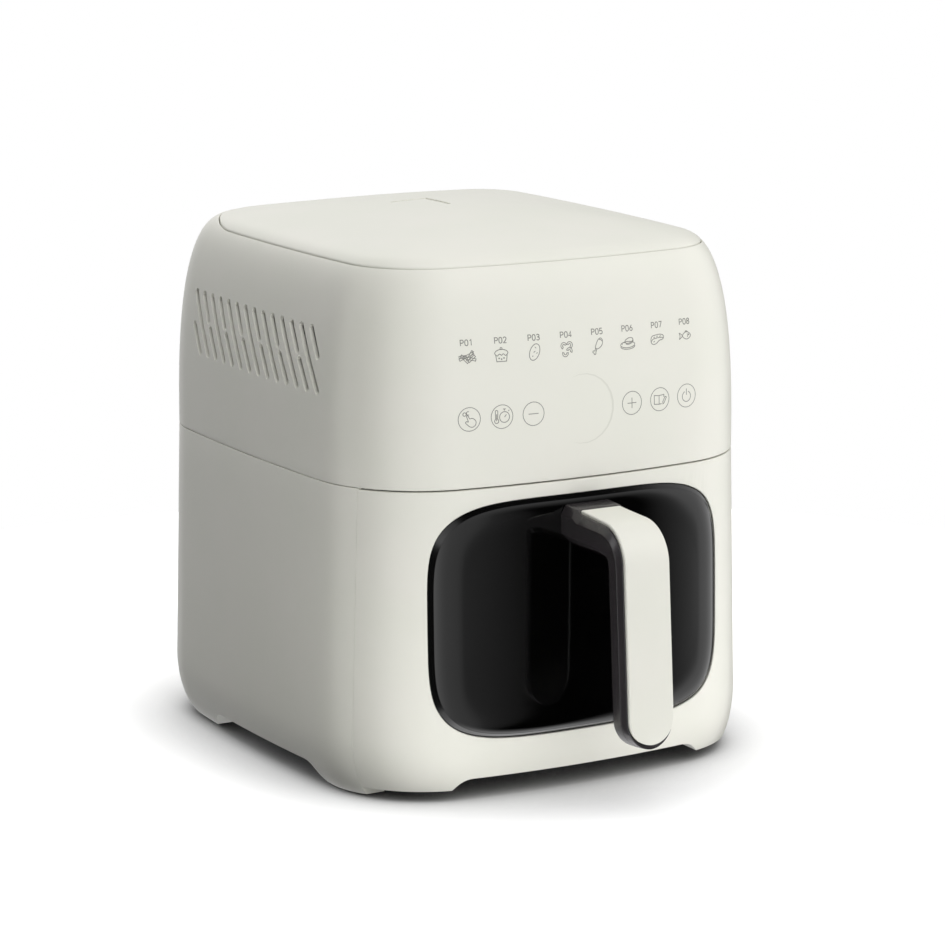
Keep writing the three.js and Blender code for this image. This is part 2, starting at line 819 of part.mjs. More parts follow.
function footPad(x, y) {
  const top = padHeight - fitGap;
  const profile = [[0, 0], [padRadius - padChamfer, 0], [padRadius, padChamfer], [padRadius, top], [0, top]];
  return turned(profile, x, y, 16);
}

// A round-headed screw standing along +Z, with the underside of its head at z.
function screw(x, y, z) {
  const profile = [
    [0, z - screwHeadHeight],
    [screwHeadRadius - screwHeadHeight / 2, z - screwHeadHeight],
    [screwHeadRadius, z],
    [screwShankRadius, z],
    [screwShankRadius, z + screwLength],
    [0, z + screwLength],
  ];
  return turned(profile, x, y, 8);
}

// The same screw lying front to back: its head's underside is at y and it points to the front.
function levelScrew(x, y, z) {
  return screw(0, 0, 0).rotate([90, 0, 0]).translate([x, y, z]);
}

// Insert with slanted bars in the rear opening of the upper housing.
function rearGrille() {
  const plate = cut(upperSkin, upperCore).intersect(rearGrilleOpening(fitGap));
  const pitch = (ductTopZ - ductBottomZ) / grilleBars;
  const gaps = [];
  for (let bar = 0; bar < grilleBars; bar += 1) {
    const z = ductBottomZ + pitch * (bar + 0.5);
    const gap = new THREE.BoxGeometry(2 * ductHalfWidth, 60, pitch * 0.5);
    gap.rotateX(-grilleTilt * degrees);
    gap.translate(0, rearFaceY(0, z, wall / 2), z);
    gaps.push(toSolid(gap));
  }
  return cut(plate, ...gaps);
}

// Bushing in the rear wall for the supply lead; its flanges follow the wall on both sides.
function cordGland() {
  const flange = glandRadius + glandFlangeWidth;
  const tip = glandNose + glandLip;
  const profile = [
    [glandBore, -glandDepth],
    [flange, -glandDepth],
    [flange, glandNose],
    [glandBore + 2 * glandLip, tip],
    [glandBore, tip],
    [glandBore, -glandDepth],
  ];
  const geometry = new THREE.LatheGeometry(profile.map(([r, h]) => new THREE.Vector2(r, h)), 12);
  geometry.translate(glandX, rearFaceY(glandX, glandZ, 0), glandZ);
  const thickWall = cut(wallBlock(-fitGap), lowerInside, pin(glandX, glandZ, 0, far, glandRadius, 12));
  return cut(toSolid(geometry), thickWall);
}

// ---------------------------------------------------------------- drawer front and window

const drawerRear = drawerSplitY - seamGap / 2;
const drawerTop = seamHeight - seamGap;
const drawerFloor = skirtHeight + wall;
const drawerBackFront = drawerRear - drawerBackThickness;
const windowHalfWidth = halfWidth - windowSideMargin;
const windowHalfHeight = (seamHeight - windowTopMargin - windowBottomZ) / 2;
const windowCentreZ = windowBottomZ + windowHalfHeight;

// A superellipse ring of [x, z] points, inset from the window's outline.
function windowRing(inset) {
  const points = [];
  const steps = 32;
  for (let i = 0; i < steps; i += 1) {
    const angle = (2 * Math.PI * i) / steps;
    const power = 2 / windowExponent;
    const x = Math.sign(Math.cos(angle)) * Math.abs(Math.cos(angle)) ** power;
    const z = Math.sign(Math.sin(angle)) * Math.abs(Math.sin(angle)) ** power;
    points.push([(windowHalfWidth - inset) * x, windowCentreZ + (windowHalfHeight - inset) * z]);
  }
  return points;
}

// The same ring laid on the front face, moved out of it by a distance.
function ringOnFace(inset, out) {
  return windowRing(inset).map(([x, z]) => [x, frontFaceY(x, z, out), z]);
}

// A straight hole with the window's outline.
function windowHole(inset) {
  const ring = windowRing(inset);
  return loft([ring.map(([x, z]) => [x, -far, z]), ring.map(([x, z]) => [x, drawerBackFront - 1, z])]);
}

function drawerFront() {
  const region = block(-far, far, -far, drawerRear, drawerFrontBottom, drawerTop);
  const hollow = lowerCore.intersect(block(-far, far, -far, far, drawerFloor, drawerTop - wall));
  const frontArchHalf = padX - frontArchMargin;
  const arch = archAcross(-frontArchHalf, frontArchHalf, frontArchRun, frontArchRun, -far, 0);
  return cut(lowerSkin.intersect(region), hollow, toSolid(arch), windowHole(-fitGap));
}

// Bevelled frame of the window. Its flange lies behind the wall and its ledge carries the glass.
const glassInset = bezelBevelWidth + bezelRimWidth;
const flangeFront = -(wall + flangeGap);
const flangeRear = flangeFront - bezelFlangeThickness;
const glassBack = bezelRise - glassThickness;

function windowBezel() {
  const rings = [
    ringOnFace(-bezelFlangeWidth, flangeRear),
    ringOnFace(-bezelFlangeWidth, flangeFront),
    ringOnFace(0, flangeFront),
    ringOnFace(0, -bezelBevelDrop),
    ringOnFace(bezelBevelWidth, bezelRise),
    ringOnFace(glassInset, bezelRise),
    ringOnFace(glassInset, glassBack - looseGap),
    ringOnFace(glassInset + bezelLedge, glassBack - looseGap),
    ringOnFace(glassInset + bezelLedge, flangeRear),
  ];
  return loft(rings, true);
}

// The glass: a gently pillowed pane that follows the bow of the front.
function windowPanel() {
  const edge = glassInset + fitGap;
  const rim = bezelRise;
  const face = rim + glassPillow;
  const shrunk = (share, out) => windowRing(edge + glassFlatInset).map(([x, z]) => {
    const height = windowCentreZ + (z - windowCentreZ) * share;
    return [x * share, frontFaceY(x * share, height, out), height];
  });
  const rings = [
    shrunk(0.5, glassBack),
    shrunk(1, glassBack),
    ringOnFace(edge, glassBack),
    ringOnFace(edge, rim - glassEdge),
    ringOnFace(edge + glassEdge, rim),
    ringOnFace(edge + glassShoulder, rim + glassPillow * glassShoulderShare),
    shrunk(1, face),
    shrunk(0.65, face),
    shrunk(0.3, face),
  ];
  return cut(loft(rings), tenonBlock(fitGap));
}

function drawerBack() {
  const slab = lowerInside.intersect(
    block(-far, far, drawerBackFront, drawerRear, drawerFloor + fitGap, drawerTop - wall - fitGap),
  );
  const sink = drawerRear - screwHeadHeight - 2 * fitGap;
  const holes = handleScrewPlaces.map(([x, z]) => join(
    pin(x, z, sink, 0, screwHeadRadius + looseGap, 10),
    pin(x, z, -far, 0, screwShankRadius + looseGap, 8),
  ));
  const basketHoles = basketScrewPlaces.map(([x, z]) => pin(x, z, -far, 0, screwShankRadius + looseGap, 8));
  return cut(slab, ...holes, ...basketHoles);
}

// ---------------------------------------------------------------- handle

const handleTopZ = seamHeight - handleTopDrop;
const handleRootY = frontFaceY(0, handleTopZ, bezelRise + glassPillow);
const slope = handleTopSlope * degrees;
const lean = handleLean * degrees;
const bendTurn = Math.PI / 2 - slope - lean;
const bendTangent = handleBendRadius * Math.tan(bendTurn / 2);
const bendCornerZ = handleTopZ - handleReach * Math.tan(slope);
const bendStart = handleReach / Math.cos(slope) - bendTangent;
const bendEnd = bendStart + handleBendRadius * bendTurn;
const handleEnd = bendEnd + (bendCornerZ - handleTipZ) / Math.cos(lean) - bendTangent;

// Outer line of the handle at a distance from its root: a point and the way to the inner side.
function handleLine(distance) {
  const turn = Math.min(bendTurn, Math.max(0, (distance - bendStart) / handleBendRadius));
  const angle = slope + turn;
  const straight = Math.min(distance, bendStart);
  const radius = handleBendRadius;
  const along = straight * Math.cos(slope) + radius * (Math.sin(angle) - Math.sin(slope));
  const down = straight * Math.sin(slope) + radius * (Math.cos(slope) - Math.cos(angle));
  const rest = Math.max(0, distance - bendEnd);
  return {
    y: handleRootY - along - rest * Math.cos(angle),
    z: handleTopZ - down - rest * Math.sin(angle),
    inwardY: Math.sin(angle),
    inwardZ: -Math.cos(angle),
  };
}

// How far a station is from the root to the bend, and round the bend: 0 to 1, eased.
function easedShare(distance, from, to) {
  const share = Math.min(1, Math.max(0, (distance - from) / (to - from)));
  return share * share * (3 - 2 * share);
}

function handleThickness(distance) {
  const toBend = easedShare(distance, 0, bendStart);
  const roundBend = easedShare(distance, bendStart, bendEnd);
  const slimmed = handleRootThickness + (handleBendThickness - handleRootThickness) * toBend;
  return slimmed + (handleGripThickness - handleBendThickness) * roundBend;
}

// A bar along the handle's line that ends in a half circle; section gives [x share, depth] points.
function handleBar(from, half, section) {
  const centre = handleEnd - handleHalfWidth;
  const stations = [from];
  for (const share of [0.35, 0.7]) stations.push(Math.max(from, 0) + (bendStart - Math.max(from, 0)) * share);
  for (let i = 0; i <= 6; i += 1) stations.push(bendStart + ((bendEnd - bendStart) * i) / 6);
  stations.push((bendEnd + centre) / 2);
  for (let i = 0; i <= 6; i += 1) stations.push(centre + half * Math.sin((i * 14.2) * degrees));
  const rings = stations.map((distance) => {
    const line = handleLine(distance);
    const past = Math.max(0, distance - centre);
    const width = Math.sqrt(half ** 2 - past ** 2) / half;
    return section(distance).map(([x, depth]) => [
      x * width, line.y + line.inwardY * depth, line.z + line.inwardZ * depth,
    ]);
  });
  return loft(rings);
}

function handleSection(distance) {
  const slim = easedShare(distance, 0, bendEnd);
  const top = handleRootTopHalf + (handleGripTopHalf - handleRootTopHalf) * slim;
  const chamfer = handleRootChamfer + (handleGripChamfer - handleRootChamfer) * slim;
  const lip = distance > coverStart ? handleLipDrop : 0;
  const depth = handleThickness(distance);
  const side = handleHalfWidth;
  return [
    [-top, lip], [top, lip], [side, chamfer], [side, depth - handleInnerChamfer],
    [side - handleInnerChamfer, depth], [handleInnerChamfer - side, depth],
    [-side, depth - handleInnerChamfer], [-side, chamfer],
  ];
}

function coverSection(top, bottom, grow) {
  const side = coverHalfWidth + grow;
  const edge = Math.min(coverEdge, bottom - top);
  return [
    [-side, bottom], [-side, top + edge], [edge - side, top], [side - edge, top], [side, top + edge],
    [side, bottom],
  ];
}

// The part of the handle that goes through the glass, to the back of the drawer front.
const tenonZ = handleTopZ - tenonDrop;
const tenonRear = drawerBackFront - fitGap;
const handleScrewPlaces = [-1, 1].map((side) => [(side * handleScrewSpread) / 2, tenonZ]);

function tenonBlock(grow) {
  const half = tenonHalfWidth + grow;
  const halfHeight = tenonHalfHeight + grow;
  return block(-half, half, handleRootY - 3, tenonRear, tenonZ - halfHeight, tenonZ + halfHeight);
}

function handleBody() {
  const bar = handleBar(-8, handleHalfWidth, handleSection);
  const recess = handleBar(coverStart, coverHalfWidth + fitGap, () => (
    coverSection(-5, coverThickness + fitGap, fitGap)
  ));
  const root = wallBlock(-(bezelRise + glassPillow + fitGap));
  const bores = handleScrewPlaces.map(([x, z]) => (
    pin(x, z, tenonRear - screwLength, tenonRear + 1, screwShankRadius + looseGap, 8)
  ));
  return cut(join(cut(bar, root, recess), tenonBlock(0)), ...bores);
}

function handleCover() {
  return handleBar(coverStart + fitGap, coverHalfWidth, () => coverSection(0, coverThickness, 0));
}

// ---------------------------------------------------------------- basket and crisper plate

const basketFront = drawerRear + fitGap;
const basketRear = linerRearY - linerWall - basketRearGap;
const basketLength = basketRear - basketFront;
const basketScrewPlaces = [[-50, 62], [50, 62]];

// A rounded rectangle of [x, y] points.
function roundedRectangle(x0, x1, y0, y1, radius, steps = 4) {
  const corners = [[x1 - radius, y0 + radius, -90], [x1 - radius, y1 - radius, 0],
    [x0 + radius, y1 - radius, 90], [x0 + radius, y0 + radius, 180]];
  return corners.flatMap(([x, y, start]) => Array.from({ length: steps + 1 }, (_, i) => {
    const angle = (start + (90 * i) / steps) * degrees;
    return [x + radius * Math.cos(angle), y + radius * Math.sin(angle)];
  }));
}

// A ring of the basket's wall: it narrows to its floor at the sides and the rear.
function basketRing(z, inset) {
  const taper = basketTaper * ((basketRimZ - z) / (basketRimZ - basketFloorZ));
  const half = basketHalfWidth - taper - inset;
  const radius = Math.max(basketCornerRadius - inset, 2);
  const points = roundedRectangle(-half, half, basketFront + inset, basketRear - taper - inset, radius);
  return points.map(([x, y]) => [x, y, z]);
}

function basket() {
  const outside = loft([
    basketRing(basketFloorZ, basketFloorRadius),
    basketRing(basketFloorZ + basketFloorRadius * 0.3, basketFloorRadius * 0.3),
    basketRing(basketFloorZ + basketFloorRadius, 0),
    basketRing(basketRimZ, 0),
  ]);
  const rim = loft([
    basketRing(basketRimZ - basketRimThickness, -basketRimWidth), basketRing(basketRimZ, -basketRimWidth),
  ]);
  const floor = basketFloorZ + basketWall;
  const inside = loft([
    basketRing(floor, basketFloorRadius + basketWall),
    basketRing(floor + basketFloorRadius * 0.3, basketFloorRadius * 0.3 + basketWall),
    basketRing(floor + basketFloorRadius, basketWall),
    basketRing(basketRimZ + 1, basketWall),
  ]);
  const holes = basketScrewPlaces.map(([x, z]) => pin(x, z, -far, 0, screwShankRadius + looseGap, 8));
  return cut(join(outside, rim), inside, block(-far, far, -far, basketFront, 0, far), ...holes);
}

// The plate follows the basket's inner wall at its height, less a running gap.
function crisperPlate() {
  const ring = (z) => basketRing(plateZ, basketWall + plateGap).map(([x, y]) => [x, y, z]);
  const slab = loft([ring(plateZ), ring(plateZ + plateThickness)]);
  const half = basketHalfWidth - basketTaper - basketWall - plateGap;
  const columnPitch = (2 * (half - 8)) / plateSlotColumns;
  const rowPitch = (basketLength - 30) / plateSlotRows;
  const slots = [];
  for (let row = 0; row < plateSlotRows; row += 1) {
    for (let column = 0; column < plateSlotColumns; column += 1) {
      const x = (column - (plateSlotColumns - 1) / 2) * columnPitch;
      const y = basketFront + 15 + (row + 0.5) * rowPitch;
      slots.push(slotCutter(x, y));
    }
  }
  return cut(slab, ...slots);
}

function slotCutter(x, y) {
  const straight = plateSlotLength - plateSlotWidth;
  const cutter = raised(slotShape(straight, plateSlotWidth, 3), plateZ - 1, plateZ + plateThickness + 1);
  return cutter.rotate([0, 0, 90]).translate([x + straight / 2, y, 0]);
}

// Soft feet under the plate's corners; they stand on the basket's floor.
function plateFoot(x, y) {
  const bottom = basketFloorZ + basketWall + fitGap;
  const top = plateZ - fitGap;
  const radius = plateFootRadius;
  return turned([[0, bottom], [radius - 1.5, bottom], [radius, bottom + 2], [radius, top], [0, top]], x, y, 10);
}

// ---------------------------------------------------------------- cooking chamber

const frameFront = housingFrontEdge + sealThickness + fitGap;
const frameRear = frameFront + frameThickness;
const switchX = halfWidth - switchSideMargin;
const frameOpeningHalf = basketHalfWidth + basketRimWidth + frameOpeningMargin;
const frameOpeningBottom = basketFloorZ - 1.5;
const frameOpeningTop = basketRimZ + 1.5;
const wholeInside = join(lowerInside, upperInside);

function frontFrame() {
  const slab = wholeInside.intersect(
    block(-far, far, frameFront, frameRear, basePlateTop + fitGap, deckZ - fitGap),
  );
  const opening = block(-frameOpeningHalf, frameOpeningHalf, -far, far, frameOpeningBottom, frameOpeningTop);
  return cut(slab, opening, pin(switchX, switchZ, -far, 0, switchPinRadius + looseGap, 12));
}

// Rubber lip on the drawer, round the frame's opening.
function drawerSeal() {
  const frameAround = (margin, y0, y1) => block(
    -frameOpeningHalf - margin, frameOpeningHalf + margin, y0, y1,
    frameOpeningBottom - margin, frameOpeningTop + margin,
  );
  const lip = frameAround(sealMargin + sealWidth, drawerRear + fitGap, frameFront - fitGap);
  return cut(lip, frameAround(sealMargin, -far, far));
}

const linerFront = frameRear + fitGap;
const linerBottom = basePlateTop + fitGap;
const linerTop = deckZ - fitGap;

function linerBlock(half, rear, bottom, top, radius) {
  const outline = roundedRectangle(-half, half, linerFront - 2 * radius, rear, radius);
  return loft([outline.map(([x, y]) => [x, y, bottom]), outline.map(([x, y]) => [x, y, top])]);
}

function chamberLiner() {
  const outside = linerBlock(linerHalfWidth, linerRearY, linerBottom, linerTop, linerCornerRadius);
  const flangeHalf = linerHalfWidth + linerFlangeWidth;
  const flangeRear = linerRearY + linerFlangeWidth;
  const flange = linerBlock(flangeHalf, flangeRear, linerTop - linerWall, linerTop, linerCornerRadius);
  const innerHalf = linerHalfWidth - linerWall;
  const innerRear = linerRearY - linerWall;
  const inside = linerBlock(innerHalf, innerRear, linerBottom + linerWall, far, linerCornerRadius - linerWall);
  return cut(join(outside, flange), inside, block(-far, far, -far, linerFront, 0, far));
}

// Rail on the chamber's side wall that carries the basket's rim, with a sloped lead-in.
function runner(side) {
  const top = basketRimZ - basketRimThickness - fitGap;
  const shape = new THREE.Shape();
  const rear = linerRearY - runnerRearGap;
  shape.moveTo(linerFront, top - runnerHeight);
  shape.lineTo(rear, top - runnerHeight);
  shape.lineTo(rear, top);
  shape.lineTo(linerFront + runnerLeadIn, top);
  shape.lineTo(linerFront, top - runnerLeadDrop);
  shape.closePath();
  const outer = linerHalfWidth - linerWall - fitGap;
  const inner = basketHalfWidth + 2 * fitGap;
  const geometry = new THREE.ExtrudeGeometry(shape, { depth: outer - inner, bevelEnabled: false });
  geometry.rotateX(Math.PI / 2);
  geometry.rotateZ(Math.PI / 2);
  geometry.translate(side > 0 ? inner : -outer, 0, 0);
  return toSolid(geometry);
}

// The power board stands in the rear left corner, clear of the heater's flange.
const powerBoardX = powerBoardSideMargin - halfWidth;
const powerBoardZ = deckTop + powerBoardRise;
const powerBoardFront = Math.sqrt(
  (heaterFlangeRadius + powerBoardClearance) ** 2 - (powerBoardX + powerBoardWidth / 2) ** 2,
);
const powerBoardY = powerBoardFront + powerBoardDepth / 2;

// Steel deck over the chamber, with its round opening and the posts of the power board.
function deckPlate() {
  const slab = wholeInside.intersect(block(-far, far, -far, far, deckZ, deckTop));
  const posts = [];
  for (const x of [-1, 1]) {
    for (const y of [-1, 1]) {
      const postX = powerBoardX + x * (powerBoardWidth / 2 - boardPostInset);
      const postY = powerBoardY + y * (powerBoardDepth / 2 - boardPostInset);
      posts.push(post(postX, postY, deckZ, powerBoardZ - fitGap, boardPostRadius, 10));
    }
  }
  return cut(join(slab, ...posts), post(0, 0, 0, far, heaterRadius - deckRimWidth, 20));
}

// ---------------------------------------------------------------- heater and fans

const shellFoot = deckTop + fitGap;
const elementRadius = heaterRadius - elementSideGap;
const elementZ = deckZ + elementRise;

function heaterHousing() {
  const inner = heaterRadius - heaterSheet;
  const profile = [
    [shaftHoleRadius, heaterTopZ - heaterSheet],
    [inner - heaterCorner, heaterTopZ - heaterSheet],
    [inner, heaterTopZ - heaterSheet - heaterCorner],
    [inner, shellFoot],
    [heaterFlangeRadius, shellFoot],
    [heaterFlangeRadius, shellFoot + heaterSheet],
    [heaterRadius, shellFoot + heaterSheet],
    [heaterRadius, heaterTopZ - heaterCorner],
    [heaterRadius - heaterCorner, heaterTopZ],
    [shaftHoleRadius, heaterTopZ],
    [shaftHoleRadius, heaterTopZ - heaterSheet],
  ];
  const outlet = block(
    ductWall - ductHalfWidth, ductHalfWidth - ductWall, 0, far, ductBottomZ + ductWall, ductTopZ - ductWall,
  );
  const holeBottom = heaterTopZ - heaterSheet - 1;
  const leadHoleRadius = elementTubeRadius + looseGap;
  const leadHoles = elementLeads().map(([x, y]) => post(x, y, holeBottom, far, leadHoleRadius, 8));
  const sensorHole = post(sensorX, sensorY, holeBottom, far, sensorRadius + looseGap, 8);
  return cut(turned(profile, 0, 0, 20), outlet, sensorHole, ...leadHoles);
}

function elementLeads() {
  return [-1, 1].map((side) => {
    const angle = side * elementLeadAngle * degrees - Math.PI / 2;
    return [elementRadius * Math.cos(angle), elementRadius * Math.sin(angle)];
  });
}

// Path of the element: down one lead, once round, and up the other lead.
class ElementPath extends THREE.Curve {
  getPoint(share, target = new THREE.Vector3()) {
    const lead = elementLeadAngle * degrees;
    const bend = elementLeadBend;
    const top = heaterTopZ + elementLeadHeight;
    const drop = top - elementZ - bend;
    const quarter = (bend * Math.PI) / 2;
    const round = elementRadius * (2 * Math.PI - 2 * lead) - 2 * bend;
    const total = 2 * drop + 2 * quarter + round;
    const travel = Math.min(share, 1 - share) * total;
    const side = share < 0.5 ? 1 : -1;
    let along = 0;
    let height = top - travel;
    if (travel > drop && travel <= drop + quarter) {
      const turn = (travel - drop) / bend;
      along = bend * (1 - Math.cos(turn));
      height = elementZ + bend * (1 - Math.sin(turn));
    } else if (travel > drop + quarter) {
      along = bend + travel - drop - quarter;
      height = elementZ;
    }
    const angle = -Math.PI / 2 + side * (lead + along / elementRadius);
    return target.set(elementRadius * Math.cos(angle), elementRadius * Math.sin(angle), height);
  }
}

function heatingElement() {
  const section = new THREE.Shape();
  section.absarc(0, 0, elementTubeRadius, 0, 2 * Math.PI, false);
  const geometry = new THREE.ExtrudeGeometry(section, {
    steps: 34, extrudePath: new ElementPath(), curveSegments: 3, bevelEnabled: false,
  });
  return toSolid(geometry);
}

// Strap that hangs from the heater housing and holds the element in an eye.
function elementClip(angle) {
  const half = elementTubeRadius + clipBorder;
  const top = heaterTopZ - heaterSheet - fitGap;
  const strap = block(
    elementRadius - half, elementRadius + half, -clipThickness / 2, clipThickness / 2, elementZ - half, top,
  );
  const eye = pin(elementRadius, elementZ, -clipThickness, clipThickness, elementTubeRadius + looseGap, 10);
  return cut(strap, eye).rotate([0, 0, angle]);
}

// Round grid below the element, resting on the deck's rim.
function elementGuard() {
  const z = deckTop + fitGap;
  const outer = heaterRadius - heaterSheet - 2 * looseGap;
  const ringAt = (radius) => cut(
    post(0, 0, z, z + guardThickness, radius, 12),
    post(0, 0, z - 1, z + 2 * guardThickness, radius - guardBarWidth, 12),
  );
  const rings = [];
  for (let ring = 0; ring < guardRings; ring += 1) {
    rings.push(ringAt(outer - (ring * outer) / guardRings));
  }
  const bar = block(1 - outer, outer - 1, -guardBarWidth / 2, guardBarWidth / 2, z, z + guardThickness);
  const bars = [bar, bar.rotate([0, 0, 90])];
  return join(...rings, ...bars);
}

// Rectangular duct from the heater housing to the rear grille.
function exhaustDuct() {
  const tube = cut(
    block(-ductHalfWidth, ductHalfWidth, 0, far, ductBottomZ, ductTopZ),
    block(
      ductWall - ductHalfWidth, ductHalfWidth - ductWall, -1, far + 1, ductBottomZ + ductWall, ductTopZ - ductWall,
    ),
  );
  return cut(tube.intersect(upperInside), post(0, 0, 0, far, heaterRadius + looseGap, 20));
}

const bracketBottom = heaterTopZ + fitGap;
const bracketZ = heaterTopZ + standoffHeight;
const motorZ = bracketZ + bracketThickness + fitGap;

function motorBracket() {
  const plate = post(0, 0, bracketZ, bracketZ + bracketThickness, bracketRadius, 24);
  const legs = bracketLegAngles.map((angle) => {
    const x = (bracketRadius - bracketLegInset) * Math.cos(angle * degrees);
    const y = (bracketRadius - bracketLegInset) * Math.sin(angle * degrees);
    return post(x, y, bracketBottom, bracketZ + bracketThickness, bracketLegRadius, 8);
  });
  return cut(join(plate, ...legs), post(0, 0, 0, far, motorBossRadius + looseGap, 16));
}

function motor() {
  const bore = shaftRadius + fitGap;
  const top = motorZ + motorHeight;
  const profile = [
    [bore, motorZ - motorLowerBoss],
    [motorBossRadius, motorZ - motorLowerBoss],
    [motorBossRadius, motorZ],
    [motorRadius - motorChamfer, motorZ],
    [motorRadius, motorZ + motorChamfer],
    [motorRadius, top - motorChamfer],
    [motorRadius - motorChamfer, top],
    [motorBossRadius, top],
    [motorBossRadius, top + motorUpperBoss],
    [bore, top + motorUpperBoss],
    [bore, motorZ - motorLowerBoss],
  ];
  const vents = [];
  for (let vent = 0; vent < motorVents; vent += 1) {
    const slot = block(
      motorRadius - motorVentWidth, motorRadius + 1, -motorVentWidth / 2, motorVentWidth / 2,
      motorZ + motorVentMargin, top - motorVentMargin,
    );
    vents.push(slot.rotate([0, 0, ((vent + 0.5) * 360) / motorVents]));
  }
  return cut(turned(profile, 0, 0, 16), ...vents);
}

const fanZ = elementZ + fanRise;
const fanRadius = heaterRadius - fanSideGap;
const coolingFanZ = motorZ + motorHeight + motorUpperBoss + coolingFanGap;

function fanShaft() {
  return post(0, 0, fanZ - shaftBelowFan, coolingFanZ + coolingFanHeight + shaftAboveFan, shaftRadius, 16);
}

// A blade that curves back as it leaves the hub, standing from z0 to z1.
function curvedBlade(inner, outer, z0, z1, thickness, angle) {
  const shape = new THREE.Shape();
  const sweep = fanBladeSweep * degrees;
  const place = (radius, turn, side) => [
    radius * Math.cos(turn) - side * Math.sin(turn) * (thickness / 2),
    radius * Math.sin(turn) + side * Math.cos(turn) * (thickness / 2),
  ];
  const steps = 2;
  const edge = (side) => Array.from({ length: steps + 1 }, (_, i) => (
    place(inner + ((outer - inner) * i) / steps, sweep * (i / steps) ** 2, side)
  ));
  const outline = [...edge(-1), ...edge(1).reverse()];
  shape.setFromPoints(outline.map(([x, y]) => new THREE.Vector2(x, y)));
  return raised(shape, z0, z1).rotate([0, 0, angle]);
}

// Radial fan that drives the hot air: a disc with curved blades below it.
function convectionFan() {
  const top = fanZ + fanBladeHeight;
  const hub = post(0, 0, fanZ, top, shaftRadius + fanHubWall, 16);
  const disc = post(0, 0, top - fanDiscThickness, top, fanRadius, 24);
  const bladeTop = top - fanDiscThickness / 2;
  const inner = fanRadius / 4;
  const blades = [];
  for (let blade = 0; blade < fanBlades; blade += 1) {
    const angle = (blade * 360) / fanBlades;
    blades.push(curvedBlade(inner, fanRadius - 1, fanZ + 2, bladeTop, fanBladeThickness, angle));
  }
  return cut(join(disc, hub, ...blades), post(0, 0, 0, far, shaftRadius + fitGap, 16));
}

// Axial fan above the motor, with pitched blades.
function coolingFan() {
  const z = coolingFanZ;
  const hub = post(0, 0, z, z + coolingFanHeight, coolingHubRadius, 16);
  const inner = coolingHubRadius - 2;
  const blades = [];
  for (let blade = 0; blade < coolingBlades; blade += 1) {
    const paddle = new THREE.BoxGeometry(coolingFanRadius - inner, coolingBladeWidth, coolingBladeThickness);
    paddle.rotateX(coolingBladePitch * degrees);
    paddle.translate((coolingFanRadius + inner) / 2, 0, z + coolingFanHeight / 2);
    blades.push(toSolid(paddle).rotate([0, 0, (blade * 360) / coolingBlades]));
  }
  return cut(join(hub, ...blades), post(0, 0, 0, far, shaftRadius + fitGap, 16));
}

function fanNut() {
  const top = fanZ - fitGap;
  const nut = post(0, 0, top - fanNutHeight, top, fanNutRadius, 6);
  return cut(nut, post(0, 0, 0, far, shaftRadius + fitGap, 16));
}

// ---------------------------------------------------------------- electronics and small parts

const touchBoardHalfWidth = halfWidth - touchBoardSideMargin;
const touchBoardBottom = seamHeight + touchBoardRise;
const touchBoardTop = touchBoardBottom + touchBoardHeight;
const touchBoardY = touchBoardSetback - halfDepth;
const boardRear = touchBoardY + boardThickness;
const displayZ = touchBoardBottom + displayRise;

// Tray that holds the touch board against the inside of the front.
function controlCarrier() {
  const outerHalf = touchBoardHalfWidth + carrierBorder;
  const body = upperInside.intersect(block(
    -outerHalf, outerHalf, -far, boardRear + carrierRear,
    touchBoardBottom - carrierBorder, touchBoardTop + carrierBorder,
  ));
  const seat = block(
    -touchBoardHalfWidth - fitGap, touchBoardHalfWidth + fitGap, touchBoardY - fitGap, 0,
    touchBoardBottom - fitGap, touchBoardTop + fitGap,
  );
  const window = block(
    carrierLip - touchBoardHalfWidth, touchBoardHalfWidth - carrierLip, -far, 0,
    touchBoardBottom + carrierLip, touchBoardTop - carrierLip,
  );
  return cut(body, seat, window);
}

function touchBoard() {
  const half = touchBoardHalfWidth;
  return block(-half, half, touchBoardY, boardRear, touchBoardBottom, touchBoardTop);
}

function displayModule() {
  const size = block(
    -displayHalf, displayHalf, -far, touchBoardY - fitGap,
    displayZ - displayHalfHeight, displayZ + displayHalfHeight,
  );
  return size.intersect(upperInside);
}

function powerBoard() {
  const x0 = powerBoardX - powerBoardWidth / 2;
  const y0 = powerBoardY - powerBoardDepth / 2;
  const z = powerBoardZ + boardThickness;
  const x1 = x0 + powerBoardWidth;
  const y1 = y0 + powerBoardDepth;
  const edge = boardEdgeGap;
  const board = block(x0, x1, y0, y1, powerBoardZ, z);
  const [relayWidth, relayDepth, relayHeight] = relaySize;
  const [chokeWidth, chokeDepth, chokeHeight] = chokeSize;
  const relay = block(
    x0 + edge, x0 + edge + relayWidth, y0 + edge, y0 + edge + relayDepth, powerBoardZ, z + relayHeight,
  );
  const choke = block(
    x1 - edge - chokeWidth, x1 - edge, y1 - edge - chokeDepth, y1 - edge, powerBoardZ, z + chokeHeight,
  );
  const capacitorX = x1 - edge - capacitorRadius;
  const capacitorY = y0 + edge + capacitorRadius;
  const capacitor = post(capacitorX, capacitorY, powerBoardZ, z + capacitorHeight, capacitorRadius, 12);
  return join(board, relay, choke, capacitor);
}

// Switch behind the frame; its pin reaches through to the back of the drawer.
function drawerSwitch() {
  const y0 = frameRear + fitGap;
  const body = block(
    switchX - switchInnerWidth, switchX + switchOuterWidth, y0, y0 + switchDepth,
    switchZ - switchHalfHeight, switchZ + switchHalfHeight,
  );
  return join(body, pin(switchX, switchZ, drawerRear + fitGap, y0 + 1, switchPinRadius, 12));
}

